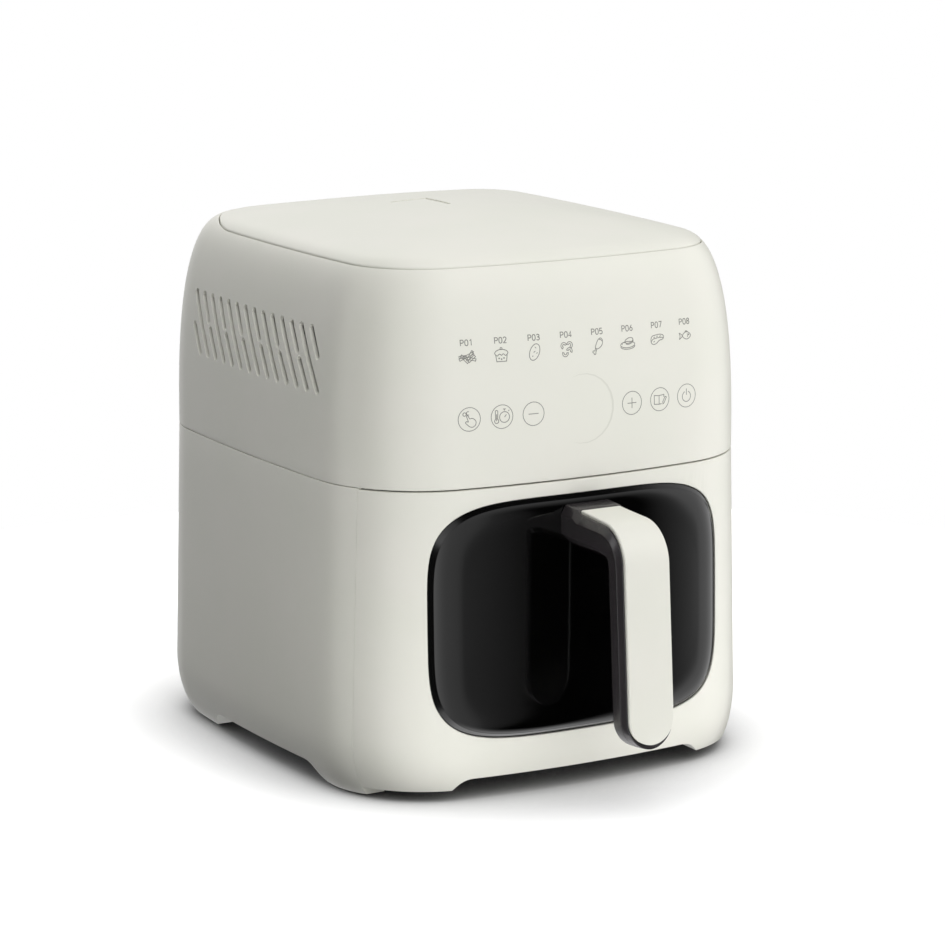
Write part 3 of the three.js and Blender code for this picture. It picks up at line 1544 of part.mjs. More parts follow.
function temperatureSensor() {
  const seat = heaterTopZ + fitGap;
  const tip = heaterTopZ - sensorReach;
  const collar = sensorRadius + sensorCollar;
  const top = seat + sensorHeight;
  const profile = [
    [0, tip],
    [sensorRadius, tip + 2],
    [sensorRadius, seat],
    [collar, seat],
    [collar, seat + 2],
    [sensorRadius + 1, seat + 2],
    [sensorRadius + 1, top],
    [0, top],
  ];
  return turned(profile, sensorX, sensorY, 10);
}

function thermalCutout() {
  const seat = heaterTopZ + fitGap;
  const shoulder = seat + cutoutHeight;
  const profile = [
    [0, seat],
    [cutoutRadius, seat],
    [cutoutRadius, shoulder],
    [cutoutRadius - 3, shoulder],
    [cutoutRadius - 3, shoulder + cutoutPin],
    [0, shoulder + cutoutPin],
  ];
  const cap = turned(profile, cutoutX, cutoutY, 14);
  const earHalf = cutoutEarWidth / 2;
  const ears = block(
    cutoutX - cutoutEarHalf, cutoutX + cutoutEarHalf, cutoutY - earHalf, cutoutY + earHalf, seat, seat + 1,
  );
  return join(cap, ears);
}

// ---------------------------------------------------------------- the assembly

function piece(name, solid, material) {
  const mesh = new THREE.Mesh(toGeometry(solid), material);
  mesh.name = name;
  return mesh;
}

function group(...pieces) {
  const parts = new THREE.Group();
  parts.add(...pieces);
  return parts;
}

const corners = ['front_left', 'front_right', 'rear_left', 'rear_right'];

const housing = group(
  piece('upper_housing', upperHousing(), creamPlastic),
  piece('top_cover', topCover(), creamPlastic),
  piece('lower_housing', lowerHousing(), creamPlastic),
  piece('base_plate', basePlate(), darkPlastic),
  piece('rear_grille', rearGrille(), creamPlastic),
  piece('cord_gland', cordGland(), darkPlastic),
  ...padPlaces.map(([x, y], i) => piece(`foot_pad_${corners[i]}`, footPad(x, y), rubber)),
  ...bossPlaces.map(([x, y], i) => piece(`base_screw_${corners[i]}`, screw(x, y, screwSeatZ), plainSteel)),
);

const chamber = group(
  piece('front_frame', frontFrame(), darkPlastic),
  piece('chamber_liner', chamberLiner(), plainSteel),
  piece('runner_left', runner(-1), plainSteel),
  piece('runner_right', runner(1), plainSteel),
  piece('deck_plate', deckPlate(), plainSteel),
  piece('heater_housing', heaterHousing(), aluminium),
  piece('heating_element', heatingElement(), elementSteel),
  ...clipAngles.map((angle, i) => piece(`element_clip_${i + 1}`, elementClip(angle - 180), plainSteel)),
  piece('element_guard', elementGuard(), plainSteel),
  piece('exhaust_duct', exhaustDuct(), plainSteel),
  piece('motor_bracket', motorBracket(), plainSteel),
  piece('motor', motor(), plainSteel),
);

const electronics = group(
  piece('control_carrier', controlCarrier(), darkPlastic),
  piece('touch_board', touchBoard(), boardGreen),
  piece('display_module', displayModule(), darkPlastic),
  piece('power_board', powerBoard(), boardGreen),
  piece('drawer_switch', drawerSwitch(), darkPlastic),
  piece('temperature_sensor', temperatureSensor(), plainSteel),
  piece('thermal_cutout', thermalCutout(), plainSteel),
);

const fan = group(
  piece('fan_shaft', fanShaft(), plainSteel),
  piece('convection_fan', convectionFan(), aluminium),
  piece('cooling_fan', coolingFan(), darkPlastic),
  piece('fan_nut', fanNut(), plainSteel),
);

const drawer = group(
  piece('drawer_front', drawerFront(), creamPlastic),
  piece('window_bezel', windowBezel(), glossBlack),
  piece('window_panel', windowPanel(), glossBlack),
  piece('drawer_back', drawerBack(), darkPlastic),
  piece('drawer_seal', drawerSeal(), rubber),
  piece('basket', basket(), coatedSteel),
  piece('handle_body', handleBody(), handleBlack),
  piece('handle_cover', handleCover(), creamPlastic),
  ...handleScrewPlaces.map(([x, z], i) => (
    piece(`handle_screw_${i + 1}`, levelScrew(x, drawerRear - screwHeadHeight - fitGap, z), plainSteel)
  )),
  ...basketScrewPlaces.map(([x, z], i) => (
    piece(`basket_screw_${i + 1}`, levelScrew(x, basketFront + basketWall + fitGap, z), plainSteel)
  )),
);

const plateFootX = basketHalfWidth - basketTaper - basketWall - plateFootInset;
const plateFootPlaces = [basketFront + plateFootInset, basketRear - basketTaper - plateFootInset].flatMap((y) => (
  [[-plateFootX, y], [plateFootX, y]]
));

const crisper = group(
  piece('crisper_plate', crisperPlate(), coatedSteel),
  ...plateFootPlaces.map(([x, y], i) => piece(`plate_foot_${corners[i]}`, plateFoot(x, y), rubber)),
);

// The origin is on the floor, under the middle of the whole appliance.
const airFryer = group(housing, chamber, electronics, fan, drawer, crisper);
const extent = new THREE.Box3().setFromObject(airFryer);
airFryer.position.y = -(extent.min.y + extent.max.y) / 2;

export default airFryer;
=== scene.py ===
import json
import math
import bpy
import bmesh
import numpy as np
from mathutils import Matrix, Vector


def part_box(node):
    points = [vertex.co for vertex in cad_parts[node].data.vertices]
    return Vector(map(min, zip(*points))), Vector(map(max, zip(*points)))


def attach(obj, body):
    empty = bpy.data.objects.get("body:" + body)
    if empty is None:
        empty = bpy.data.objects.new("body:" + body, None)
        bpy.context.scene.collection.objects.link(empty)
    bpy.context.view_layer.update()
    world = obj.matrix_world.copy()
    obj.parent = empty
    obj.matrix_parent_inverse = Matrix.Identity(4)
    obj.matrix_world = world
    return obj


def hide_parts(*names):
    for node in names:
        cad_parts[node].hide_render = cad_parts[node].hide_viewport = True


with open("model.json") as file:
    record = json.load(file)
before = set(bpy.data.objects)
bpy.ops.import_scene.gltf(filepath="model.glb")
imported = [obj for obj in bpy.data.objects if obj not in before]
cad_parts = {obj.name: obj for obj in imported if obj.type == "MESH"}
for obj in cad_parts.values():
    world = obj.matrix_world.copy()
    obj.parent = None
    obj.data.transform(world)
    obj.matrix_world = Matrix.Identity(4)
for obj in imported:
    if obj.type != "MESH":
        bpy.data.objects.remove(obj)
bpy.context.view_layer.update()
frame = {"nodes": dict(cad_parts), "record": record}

scene = bpy.context.scene

# ---------- sizes, in millimetres

MM = 0.001
DEG = math.pi / 180

# The housing's middle in the frame: the fan shaft stands on it.
shaft_low, shaft_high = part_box("fan_shaft")
MIDDLE_Y = (shaft_low[1] + shaft_high[1]) / 2

BODY_WIDTH = 263.8
BODY_DEPTH = 290.4
FRONT_BOW = 551
SIDE_BOW = 1304
REAR_BOW = 661
FRONT_CORNER = 65.4
REAR_CORNER = 62.7

DRAFT = math.tan(1.4 * DEG)
SEAM_Z = 169
SHOULDER_HEIGHT = 112.1
SHOULDER_REACH = 27.9
SHOULDER_POWER = 2.7
CROWN_RISE = 18.6
LID_INSET = 22.1
LID_REAR_CORNER = 65
BLEND_START = 8
CROWN_INSET = 38
DOME_SHARE = 0.8

FOOT_EDGE_HEIGHT = 34
FOOT_EDGE_POWER = 1.8
# How far the lower edge turns in at the front, the sides and the rear.
EDGE_INSETS = (7, 13.4, 17)

WALL = 2.2
GAP = 0.3
SEAM_GAP = 0.7
LID_GAP = 0.6
LEDGE = 6
LID_RIM = 5
EDGE = 0.5

SKIRT_Z = 12
SIDE_ARCH = (-60.5, 37.6, 22, 28)
FRONT_ARCH = (-66, 66, 24, 24)
REAR_ARCH = (-56, 56, 22, 22)
FOOT_LIFT = 0.4
PAD_PLACES = [(-98, -85), (98, -85), (-98, 90), (98, 90)]
PAD_RADIUS = 9
PAD_HEIGHT = 3

VENT_TOP = 248
VENT_BOTTOM = 216.2
VENT_SPLIT_UPPER = 234.6
VENT_SPLIT_LOWER = 230
VENT_WIDTH = 2.7
VENT_PITCH = 10.67
VENT_FIRST_Y = 75
VENT_SLANT = 34
VENT_LINES = 13
VENT_MOUTH = 0.8
VENT_FORWARD = 0.35
VENT_CHAMFER = 1.4
VENT_FLOOR = 92

SPLIT_Y = -106
DRAWER_BOTTOM = 6.2
DRAWER_BACK = 4
DRAWER_EDGE = 0.7

WINDOW_Z = 96.5
WINDOW_HALF = np.array([90.1, 64.2])
WINDOW_POWER = 4.6
BEVEL = [(0, -0.6), (2.1, 1.06)]
GLASS_BACK = -1.1
GLASS_RISE = 3.4
GLASS_SLACK = 0.04
GLASS_EDGE = 0.12
PILLOW_WIDTH = 14.5
PILLOW_POWER = 3.6

WALL_TOP_INSET = DRAFT * SEAM_Z
SHOULDER_END = WALL_TOP_INSET + SHOULDER_REACH
DRAWER_REAR_Y = SPLIT_Y - SEAM_GAP / 2
DRAWER_TOP = SEAM_Z - SEAM_GAP
FAR = 400
REAR_CUT = 100


# ---------- the housing's outline

def within(value):
    """A value kept between 0 and 1."""
    return min(1, max(0, value))


def eased(value, low, high):
    """How far a value is from one to another: 0 to 1, slow at both ends."""
    share = within((value - low) / (high - low))
    return share * share * (3 - 2 * share)


def circle(count):
    """Evenly spaced points round a circle of radius 1."""
    angles = np.linspace(0, 2 * math.pi, count, endpoint=False)
    return np.c_[np.cos(angles), np.sin(angles)]


def fillet_centre(centre_a, radius_a, centre_b, radius_b, radius, pick):
    """Centre of a fillet that touches two circles from inside."""
    reach_a, reach_b = radius_a - radius, radius_b - radius
    axis = centre_b - centre_a
    distance = axis.length
    along = (reach_a ** 2 - reach_b ** 2 + distance ** 2) / (2 * distance)
    across = math.sqrt(max(reach_a ** 2 - along ** 2, 0))
    axis.normalize()
    foot = centre_a + axis * along
    normal = Vector((-axis.y, axis.x))
    return max((foot + normal * across, foot - normal * across), key=pick)


def outline_arcs(insets, rear_corner=None):
    """The arcs of the right half: front bow, corner, flank, corner, rear bow."""
    front, side, rear = insets
    bow = Vector((0, -BODY_DEPTH / 2 + FRONT_BOW)), FRONT_BOW - front
    flank = Vector((BODY_WIDTH / 2 - SIDE_BOW, 0)), SIDE_BOW - side
    back = Vector((0, BODY_DEPTH / 2 - REAR_BOW)), REAR_BOW - rear
    front_radius = max(FRONT_CORNER - (front + side) / 2, 1)
    rear_radius = rear_corner or max(REAR_CORNER - (rear + side) / 2, 1)
    front_centre = fillet_centre(*bow, *flank, front_radius, lambda p: p.x - p.y)
    rear_centre = fillet_centre(*back, *flank, rear_radius, lambda p: p.x + p.y)
    return bow, (front_centre, front_radius), flank, (rear_centre, rear_radius), back


def angle_of(start, end):
    return math.atan2(end.y - start.y, end.x - start.x)


STEPS = (14, 30, 20, 26, 14)


def outline(insets, rear_corner=None):
    """Points round the housing, anticlockwise from the middle of the front."""
    arcs = outline_arcs(insets, rear_corner)
    joints = [angle_of(arcs[bow][0], arcs[corner][0]) for bow, corner in ((0, 1), (2, 1), (2, 3), (4, 3))]
    turns = [-math.pi / 2, *joints, math.pi / 2]
    half = []
    for (centre, radius), start, end, steps in zip(arcs, turns, turns[1:], STEPS):
        angles = np.linspace(start, end, steps, endpoint=False)
        half.append(np.c_[centre.x + radius * np.cos(angles), centre.y + radius * np.sin(angles)])
    half = np.vstack(half + [[0, arcs[4][0].y + arcs[4][1]]])
    return np.vstack([half, half[-2:0:-1] * [-1, 1]])


def edge_turn(z):
    """How far the lower edge has turned in: 1 at the floor, 0 above the rounded edge."""
    depth = within((FOOT_EDGE_HEIGHT - z) / FOOT_EDGE_HEIGHT)
    return 1 - (1 - depth ** FOOT_EDGE_POWER) ** (1 / FOOT_EDGE_POWER)


def at_height(points, z):
    return np.c_[points, np.full(len(points), z)]


def wall_insets(z, inside=0):
    """How far the front, the sides and the rear stand in at a height."""
    turn = edge_turn(z)
    return [DRAFT * z + inside + edge * turn for edge in EDGE_INSETS]


def wall_ring(z, inside):
    return at_height(outline(wall_insets(z, inside)), z)


def flat_ring(inset, z):
    return at_height(outline([inset] * 3), z)


def roof_height(inset):
    reach = within((inset - WALL_TOP_INSET) / SHOULDER_REACH)
    rise = (1 - (1 - reach) ** SHOULDER_POWER) ** (1 / SHOULDER_POWER)
    across = min(1, (inset - WALL_TOP_INSET) / (BODY_WIDTH / 2 - WALL_TOP_INSET))
    return SEAM_Z + SHOULDER_HEIGHT * rise + CROWN_RISE * (1 - (1 - across) ** 2)


HOUSING_EDGE = outline([0] * 3)
EDGE_RUN = np.roll(HOUSING_EDGE, -1, axis=0) - HOUSING_EDGE
EDGE_NORMAL = np.c_[EDGE_RUN[:, 1], -EDGE_RUN[:, 0]] / np.linalg.norm(EDGE_RUN, axis=1)[:, None]
EDGE_REACH = (EDGE_NORMAL * HOUSING_EDGE).sum(1)


def roof_plan(inset):
    """A ring of the roof in plan. The lid's rear corners are rounder than the housing's, and
    the rings on both sides of its edge lead over to them."""
    even = outline([inset] * 3)
    lid = outline([inset] * 3, LID_REAR_CORNER - inset + LID_INSET)
    start = BLEND_START if inset < LID_INSET else CROWN_INSET
    return even + (lid - even) * eased(inset, start, LID_INSET)


def roof_ring(inset, drop=0, aside=0):
    """A ring of the roof's skin, moved down and aside."""
    plan = roof_plan(inset)
    margins = (EDGE_REACH[None, :] - plan @ EDGE_NORMAL.T).min(1)
    heights = [roof_height(margin) - drop for margin in margins]
    return np.c_[roof_plan(inset + aside) if aside else plan, heights]


def lid_ring(inset, z):
    return at_height(roof_plan(inset), z)


def crown_ring(share, inside):
    """A ring of the lid's crown, from its edge at 1 to its middle at 0. It turns from the
    outline's shape into an even dome, so that the middle has no creases."""
    edge = outline([CROWN_INSET] * 3) * share
    half = np.array([BODY_WIDTH, BODY_DEPTH]) / 2 - CROWN_INSET
    peak = roof_height(BODY_WIDTH / 2)
    drop = peak - roof_height(BODY_WIDTH / 2 - half[0] * share)
    dome = (peak - roof_height(CROWN_INSET)) * DOME_SHARE * ((edge / half) ** 2).sum(1)
    blend = eased(share, 0, 1)
    return np.c_[edge, peak - inside - (blend * drop + (1 - blend) * dome)]


def upper_inset(z):
    """Inset of the upper housing's face at a height."""
    low, high = WALL_TOP_INSET, SHOULDER_END
    for _ in range(40):
        middle = (low + high) / 2
        low, high = (middle, high) if roof_height(middle) < z else (low, middle)
    return low


def upper_arcs(z):
    return outline_arcs([upper_inset(z)] * 3)


def face_at(bow, corner, reach, out, axis):
    """Place along an axis of a bow or its corner, at a reach across the axis, moved out."""
    past_bow = reach > corner[0][1 - axis] * (bow[1] + out) / (bow[1] - corner[1])
    centre, radius = corner if past_bow else bow
    rise = math.sqrt((radius + out) ** 2 - (reach - centre[1 - axis]) ** 2)
    return centre[axis] + (-rise if axis else rise)


def front_y(x, z, out):
    """Depth of the front face below the seam, moved out of it by a distance."""
    return face_at(*outline_arcs(wall_insets(z))[:2], abs(x), out, 1)


def upper_front_y(x, z, out):
    """Depth of the front face above the seam, where the shoulder turns in."""
    return face_at(*upper_arcs(z)[:2], abs(x), out, 1)


def side_x(y, z, out):
    """Reach of the upper housing's flank from the middle, moved out of it by a distance."""
    return face_at(*upper_arcs(z)[2:4], y, out, 0)


# ---------- meshes

CREASE = 30 * DEG


def add_object(data):
    result = bpy.data.objects.new(data.name, data)
    scene.collection.objects.link(result)
    return result


def outward(shape):
    """Turns all faces outwards."""
    work = bmesh.new()
    work.from_mesh(shape.data)
    bmesh.ops.remove_doubles(work, verts=work.verts, dist=1e-7)
    bmesh.ops.recalc_face_normals(work, faces=work.faces)
    if work.calc_volume(signed=True) < 0:
        bmesh.ops.reverse_faces(work, faces=work.faces)
    work.to_mesh(shape.data)
    work.free()
    return shape


def loft(rings, endless=False):
    """Skin over rings of as many points, in millimetres from the housing's middle, closed at both
    ends or all round."""
    count, total = len(rings[0]), len(rings) * len(rings[0])
    faces = []
    for low in range(0, total if endless else total - count, count):
        high = (low + count) % total
        for i in range(count):
            after = (i + 1) % count
            faces.append((low + i, low + after, high + after, high + i))
    if not endless:
        faces += [range(count - 1, -1, -1), range(total - count, total)]
    mesh = bpy.data.meshes.new("shape")
    mesh.from_pydata((np.vstack(rings) * MM + [0, MIDDLE_Y, 0]).tolist(), [], faces)
    return outward(add_object(mesh))


def prism(points, low, high, axis):
    """A flat outline pushed along an axis: 0 is x, 1 is y, 2 is z."""
    return loft([np.insert(np.asarray(points, float), axis, level, axis=1) for level in (low, high)])


def block(x0, x1, y0, y1, z0, z1):
    return prism([(x0, y0), (x1, y0), (x1, y1), (x0, y1)], z0, z1, 2)


def rod(middle, radius, low, high, axis):
    """A round bar along an axis through a point of the plane across it."""
    return prism(middle + radius * circle(40), low, high, axis)


def merge(shapes):
    """Separate closed shapes as one object."""
    work = bmesh.new()
    for shape in shapes:
        work.from_mesh(shape.data)
        bpy.data.objects.remove(shape)
    mesh = bpy.data.meshes.new("merged")
    work.to_mesh(mesh)
    work.free()
    return add_object(mesh)


def boolean(shape, other, operation):
    step = shape.modifiers.new("boolean", "BOOLEAN")
    step.object = other
    step.operation = operation
    step.solver = "MANIFOLD"
    ready = shape.evaluated_get(bpy.context.evaluated_depsgraph_get())
    shape.data = bpy.data.meshes.new_from_object(ready)
    shape.modifiers.clear()
    bpy.data.objects.remove(other)
    return shape


def cut(shape, *others):
    for other in others:
        boolean(shape, other, "DIFFERENCE")
    return shape


def keep(shape, other):
    return boolean(shape, other, "INTERSECT")


def soften(shape):
    """Smooth shading with crisp edges."""
    work = bmesh.new()
    work.from_mesh(shape.data)
    for face in work.faces:
        face.smooth = True
    for edge in work.edges:
        edge.smooth = len(edge.link_faces) == 2 and edge.calc_face_angle(0) < CREASE
    work.to_mesh(shape.data)
    work.free()


def rounded(points, corners, radius, steps=5):
    """A flat outline whose picked corners are turned with a radius."""
    points = np.array(points, float)
    result = []
    for i, point in enumerate(points):
        if i not in corners:
            result.append(point)
            continue
        before, after = points[i - 1] - point, points[(i + 1) % len(points)] - point
        sizes = np.linalg.norm(before), np.linalg.norm(after)
        before, after = before / sizes[0], after / sizes[1]
        half_angle = math.acos(max(-1, min(1, before @ after))) / 2
        reach = min(radius / math.tan(half_angle), min(sizes) * 0.48)
        start, end = point + before * reach, point + after * reach
        for t in np.linspace(0, 1, steps + 1):
            result.append((1 - t) ** 2 * start + 2 * t * (1 - t) * point + t ** 2 * end)
    return result


# ---------- housing shells

SHOULDER_STEPS = 30
ARCH_STEPS = 18
INNER_STEPS = 12
LID_RIM_Z = roof_height(LID_INSET) - LID_RIM
RIM_INSET = LID_INSET - LID_GAP / 2
SEAT_INSET = LID_INSET + LID_GAP / 2


def shoulder_insets(low, high, steps):
    """Insets between two, close together where the shoulder turns fastest."""
    def turn(inset):
        return math.acos((1 - (inset - WALL_TOP_INSET) / SHOULDER_REACH) ** (SHOULDER_POWER / 2))

    angles = np.linspace(turn(low), turn(high), steps)
    shares = [1 - math.cos(angle) ** (2 / SHOULDER_POWER) for angle in angles]
    return [WALL_TOP_INSET + SHOULDER_REACH * share for share in shares]


def edge_steps(radius, count=5):
    """Steps across and down a rounded edge, from its side to its top."""
    turns = np.linspace(0, math.pi / 2, count)
    return [(radius * (1 - math.cos(turn)), radius * (1 - math.sin(turn))) for turn in turns]


def upper_shell():
    bottom = SEAM_Z + GAP / 2
    foot = DRAFT * bottom
    ledge_top = LID_RIM_Z - GAP
    face = shoulder_insets(WALL_TOP_INSET + 0.002, RIM_INSET - EDGE, SHOULDER_STEPS)
    inner_face = shoulder_insets(WALL_TOP_INSET + 0.05, RIM_INSET - 1.5 * WALL, INNER_STEPS)
    rings = [flat_ring(foot + across, bottom + down) for across, down in edge_steps(EDGE)[::-1]]
    rings += [roof_ring(inset) for inset in face]
    rings += [roof_ring(RIM_INSET - across, down) for across, down in edge_steps(EDGE)[-2::-1]]
    rings += [lid_ring(inset, ledge_top) for inset in (RIM_INSET, LID_INSET + LEDGE)]
    rings += [lid_ring(inset, ledge_top - WALL) for inset in (LID_INSET + LEDGE, RIM_INSET - WALL)]
    for inset in reversed(inner_face):
        reach = (inset - WALL_TOP_INSET) / SHOULDER_REACH
        rings.append(roof_ring(inset, WALL * reach, WALL * (1 - reach)))
    return loft(rings + [flat_ring(foot + WALL, bottom)], endless=True)


def stadium(length, width, steps=10):
    """A slot's outline from (0, 0) up to (0, length), round at both ends."""
    angles = np.r_[np.linspace(0, math.pi, steps), np.linspace(math.pi, 2 * math.pi, steps)]
    ends = np.repeat([length, 0], steps)
    return np.c_[width / 2 * np.cos(angles), ends + width / 2 * np.sin(angles)]


def vent_cutters(side):
    """The slanting slots of one flank, each with a chamfered mouth."""
    angle = VENT_SLANT * DEG
    turn = np.array([[math.cos(angle), -math.sin(angle)], [math.sin(angle), math.cos(angle)]])
    cutters = []

    def add(line, bottom, top):
        start = VENT_FIRST_Y - line * VENT_PITCH - (VENT_TOP - bottom) * math.tan(angle)
        length = (top - bottom) / math.cos(angle)

        def ring(grow, forward, out):
            places = stadium(length, VENT_WIDTH + 2 * grow) @ turn + [start - forward, bottom]
            reach = [VENT_FLOOR if out is None else side_x(*place, out) for place in places]
            return np.c_[side * np.array(reach), places]

        mouth = VENT_MOUTH, VENT_FORWARD
        cutters.append(loft([
            ring(*mouth, 2), ring(*mouth, 0), ring(0, 0, -VENT_CHAMFER), ring(0, 0, None)]))

    for line in range(-1, VENT_LINES + 1):
        if line % 2 == 0:
            add(line, VENT_BOTTOM, VENT_TOP)
            continue
        if line > -1:
            add(line, VENT_SPLIT_UPPER, VENT_TOP)
        if line < VENT_LINES:
            add(line, VENT_BOTTOM, VENT_SPLIT_LOWER)
    return merge(cutters)


GRILLE_HALF = 34
GRILLE_LOW = 180
GRILLE_HIGH = 218
GRILLE_CORNER = 0.01


def grille_opening(gap):
    """The opening through the rear wall, its corners just broken."""
    x, low, high = GRILLE_HALF - gap, GRILLE_LOW + gap, GRILLE_HIGH - gap
    corners = rounded([(-x, low), (x, low), (x, high), (-x, high)], {0, 1, 2, 3}, GRILLE_CORNER)
    return prism(corners, REAR_CUT, FAR, 1)


def lid_insets(first_inset):
    flat = np.linspace(SHOULDER_END, CROWN_INSET, 5)[1:-1]
    return [*shoulder_insets(first_inset, SHOULDER_END, 9), *flat]


CROWN_SHARES = [1, 0.96, 0.91, 0.84, 0.76, 0.67, 0.57, 0.47, 0.37, 0.27, 0.18, 0.1, 0.04]


def lid_block(depth):
    """Everything below the lid's face, lowered by a depth."""
    rings = [lid_ring(SEAT_INSET, 100)] + [roof_ring(inset, depth) for inset in lid_insets(SEAT_INSET)]
    return loft(rings + [crown_ring(share, depth) for share in CROWN_SHARES])


def top_cover():
    rings = [crown_ring(share, WALL) for share in reversed(CROWN_SHARES)]
    rings += [roof_ring(inset, WALL) for inset in reversed(lid_insets(SEAT_INSET + WALL))]
    rings += [lid_ring(SEAT_INSET + WALL, LID_RIM_Z), lid_ring(SEAT_INSET, LID_RIM_Z)]
    rings += [roof_ring(SEAT_INSET + across, down) for across, down in edge_steps(EDGE)]
    rings += [roof_ring(inset) for inset in lid_insets(SEAT_INSET + EDGE)[1:]]
    rings += [crown_ring(share, 0) for share in CROWN_SHARES]
    return loft(rings)


SKIN_LEVELS = [*FOOT_EDGE_HEIGHT * (1 - np.cos(np.linspace(0, math.pi / 2, 16))), 60, 90, 120, 150]


def skin(low, high, inside=0, top_edge=0, levels=SKIN_LEVELS):
    """Block of the lower housing between two heights, with a rounded upper edge."""
    brink = high - top_edge
    between = [z for z in levels if low + 0.01 < z < brink - 0.5]
    rings = [wall_ring(z, inside) for z in (low, *between, brink)]
    if top_edge:
        for across, down in edge_steps(top_edge, 6)[1:]:
            rings.append(wall_ring(high - down, inside + across))
    return loft(rings)


def arch_cutter(arch, axis, low, high):
    """An arch in the skirt whose ends curve down to the floor."""
    start, end, start_run, end_run = arch
    t = np.linspace(0, 1, ARCH_STEPS)[:, None]

    def bezier(*corners):
        a, b, c, d = np.array(corners)
        return (1 - t) ** 3 * a + 3 * t * (1 - t) ** 2 * b + 3 * t ** 2 * (1 - t) * c + t ** 3 * d

    rise = bezier((0, 0), (0.55, 0), (0.5, 1), (1, 1)) * [start_run, SKIRT_Z] + [start - start_run, 0]
    fall = bezier((0, 1), (0.5, 1), (0.45, 0), (1, 0)) * [end_run, SKIRT_Z] + [end, 0]
    return prism(np.vstack([(start - start_run, -1), rise, fall, (end + end_run, -1)]), low, high, axis)


FRONT_SEAM = 0.25
GLAND = (-70, 34)
GLAND_RADIUS = 7
FOOT_INNER_X = 85
FRONT_FOOT_X = 102
FRONT_FOOT_Y = -96
TOE_Y = -80
TOE_LIFT = 1.9


def lower_housing():
    top = SEAM_Z - GAP / 2
    shell = cut(skin(0, top, 0, EDGE), skin(-1, top + 1, WALL))
    feet = skin(0, SKIRT_Z - GAP)
    cut(feet, block(-FOOT_INNER_X, FOOT_INNER_X, -FAR, FAR, -1, FAR),
        block(-FRONT_FOOT_X, FRONT_FOOT_X, -FAR, FRONT_FOOT_Y, -1, FAR))
    body = boolean(shell, feet, "UNION")
    keep(body, block(-FAR, FAR, SPLIT_Y + FRONT_SEAM / 2, FAR, FOOT_LIFT, top + 1))
    toe = [(TOE_Y, -1), (TOE_Y, FOOT_LIFT), (SPLIT_Y - 1, TOE_LIFT), (SPLIT_Y - 1, -1)]
    cut(body, prism(toe, -FAR, FAR, 0))
    cut(body, arch_cutter(SIDE_ARCH, 0, -FAR, FAR), arch_cutter(REAR_ARCH, 1, 0, FAR))
    cut(body, *(rod(place, PAD_RADIUS + GAP, -1, PAD_HEIGHT, 2) for place in PAD_PLACES))
    return cut(body, rod(GLAND, GLAND_RADIUS + GAP, REAR_CUT, FAR, 1))


# ---------- drawer front and window

WINDOW_STEPS = 168
FLANGE_FRONT = -(WALL + 0.9)
FLANGE_REACH = 3.2
FLANGE_DEPTH = 2
GLASS_SEAT = 3
GLASS_GAP = 0.6


def window_ring(inset):
    """The window's outline as [x, z] points, evenly spaced."""
    around = circle(1440)
    corners = np.sign(around) * np.abs(around) ** (2 / WINDOW_POWER)
    dense = corners * (WINDOW_HALF - inset) + [0, WINDOW_Z]
    run = np.concatenate([[0], np.cumsum(np.linalg.norm(np.roll(dense, -1, axis=0) - dense, axis=1))])
    wanted = np.linspace(0, run[-1], WINDOW_STEPS, endpoint=False)
    closed = np.vstack([dense, dense[:1]])
    return np.c_[np.interp(wanted, run, closed[:, 0]), np.interp(wanted, run, closed[:, 1])]


def ring_on_face(inset, out, share=1):
    """The window's outline laid on the front face, or a scaled copy of it."""
    ring = (window_ring(inset) - [0, WINDOW_Z]) * share + [0, WINDOW_Z]
    return np.array([(x, front_y(x, z, out), z) for x, z in ring])


def window_hole():
    """The opening for the window, with a rounded mouth."""
    rings = [ring_on_face(-GAP - 1.6, 3)]
    rings += [ring_on_face(-GAP - across, -down) for across, down in edge_steps(EDGE, 6)[::-1]]
    return loft(rings + [np.insert(window_ring(-GAP), 1, DRAWER_REAR_Y - DRAWER_BACK - 1, axis=1)])


def drawer_front():
    shape = skin(0, DRAWER_TOP, 0, DRAWER_EDGE)
    keep(shape, block(-FAR, FAR, -FAR, SPLIT_Y - FRONT_SEAM / 2, DRAWER_BOTTOM, FAR))
    hollow = keep(skin(1, SEAM_Z, WALL), block(-FAR, FAR, -FAR, FAR, SKIRT_Z + WALL, DRAWER_TOP - WALL))
    return cut(shape, hollow, arch_cutter(FRONT_ARCH, 1, -FAR, 0), window_hole())


def window_bezel():
    ledge, back = GLASS_BACK - GLASS_GAP, FLANGE_FRONT - FLANGE_DEPTH
    inner = BEVEL[-1][0]
    profile = [(-FLANGE_REACH, back), (-FLANGE_REACH, FLANGE_FRONT), (0, FLANGE_FRONT), *BEVEL]
    profile += [(inner, ledge), (inner + GLASS_SEAT, ledge), (inner + GLASS_SEAT, back)]
    return loft([ring_on_face(inset, out) for inset, out in profile], endless=True)


def window_panel():
    """The glass: a pillow that is steep at its edge and flat in the middle."""
    edge, foot = BEVEL[-1][0] + GLASS_SLACK, BEVEL[-1][1]
    brink = edge + GLASS_EDGE
    inner = brink + PILLOW_WIDTH
    rings = [ring_on_face(inner, GLASS_BACK, share) for share in (0.05, 0.5, 1)]
    rings += [ring_on_face(edge, GLASS_BACK)]
    rings += [ring_on_face(edge + across, foot - down) for across, down in edge_steps(GLASS_EDGE, 3)]
    for reach in np.linspace(0, 1, 19)[1:] ** 1.5:
        rise = (GLASS_RISE - foot) * (1 - (1 - reach) ** PILLOW_POWER)
        rings.append(ring_on_face(brink + PILLOW_WIDTH * reach, foot + rise))
    for share in (0.93, 0.85, 0.75, 0.62, 0.48, 0.33, 0.18, 0.06):
        rings.append(ring_on_face(inner, GLASS_RISE, share))
    return loft(rings)


# ---------- handle

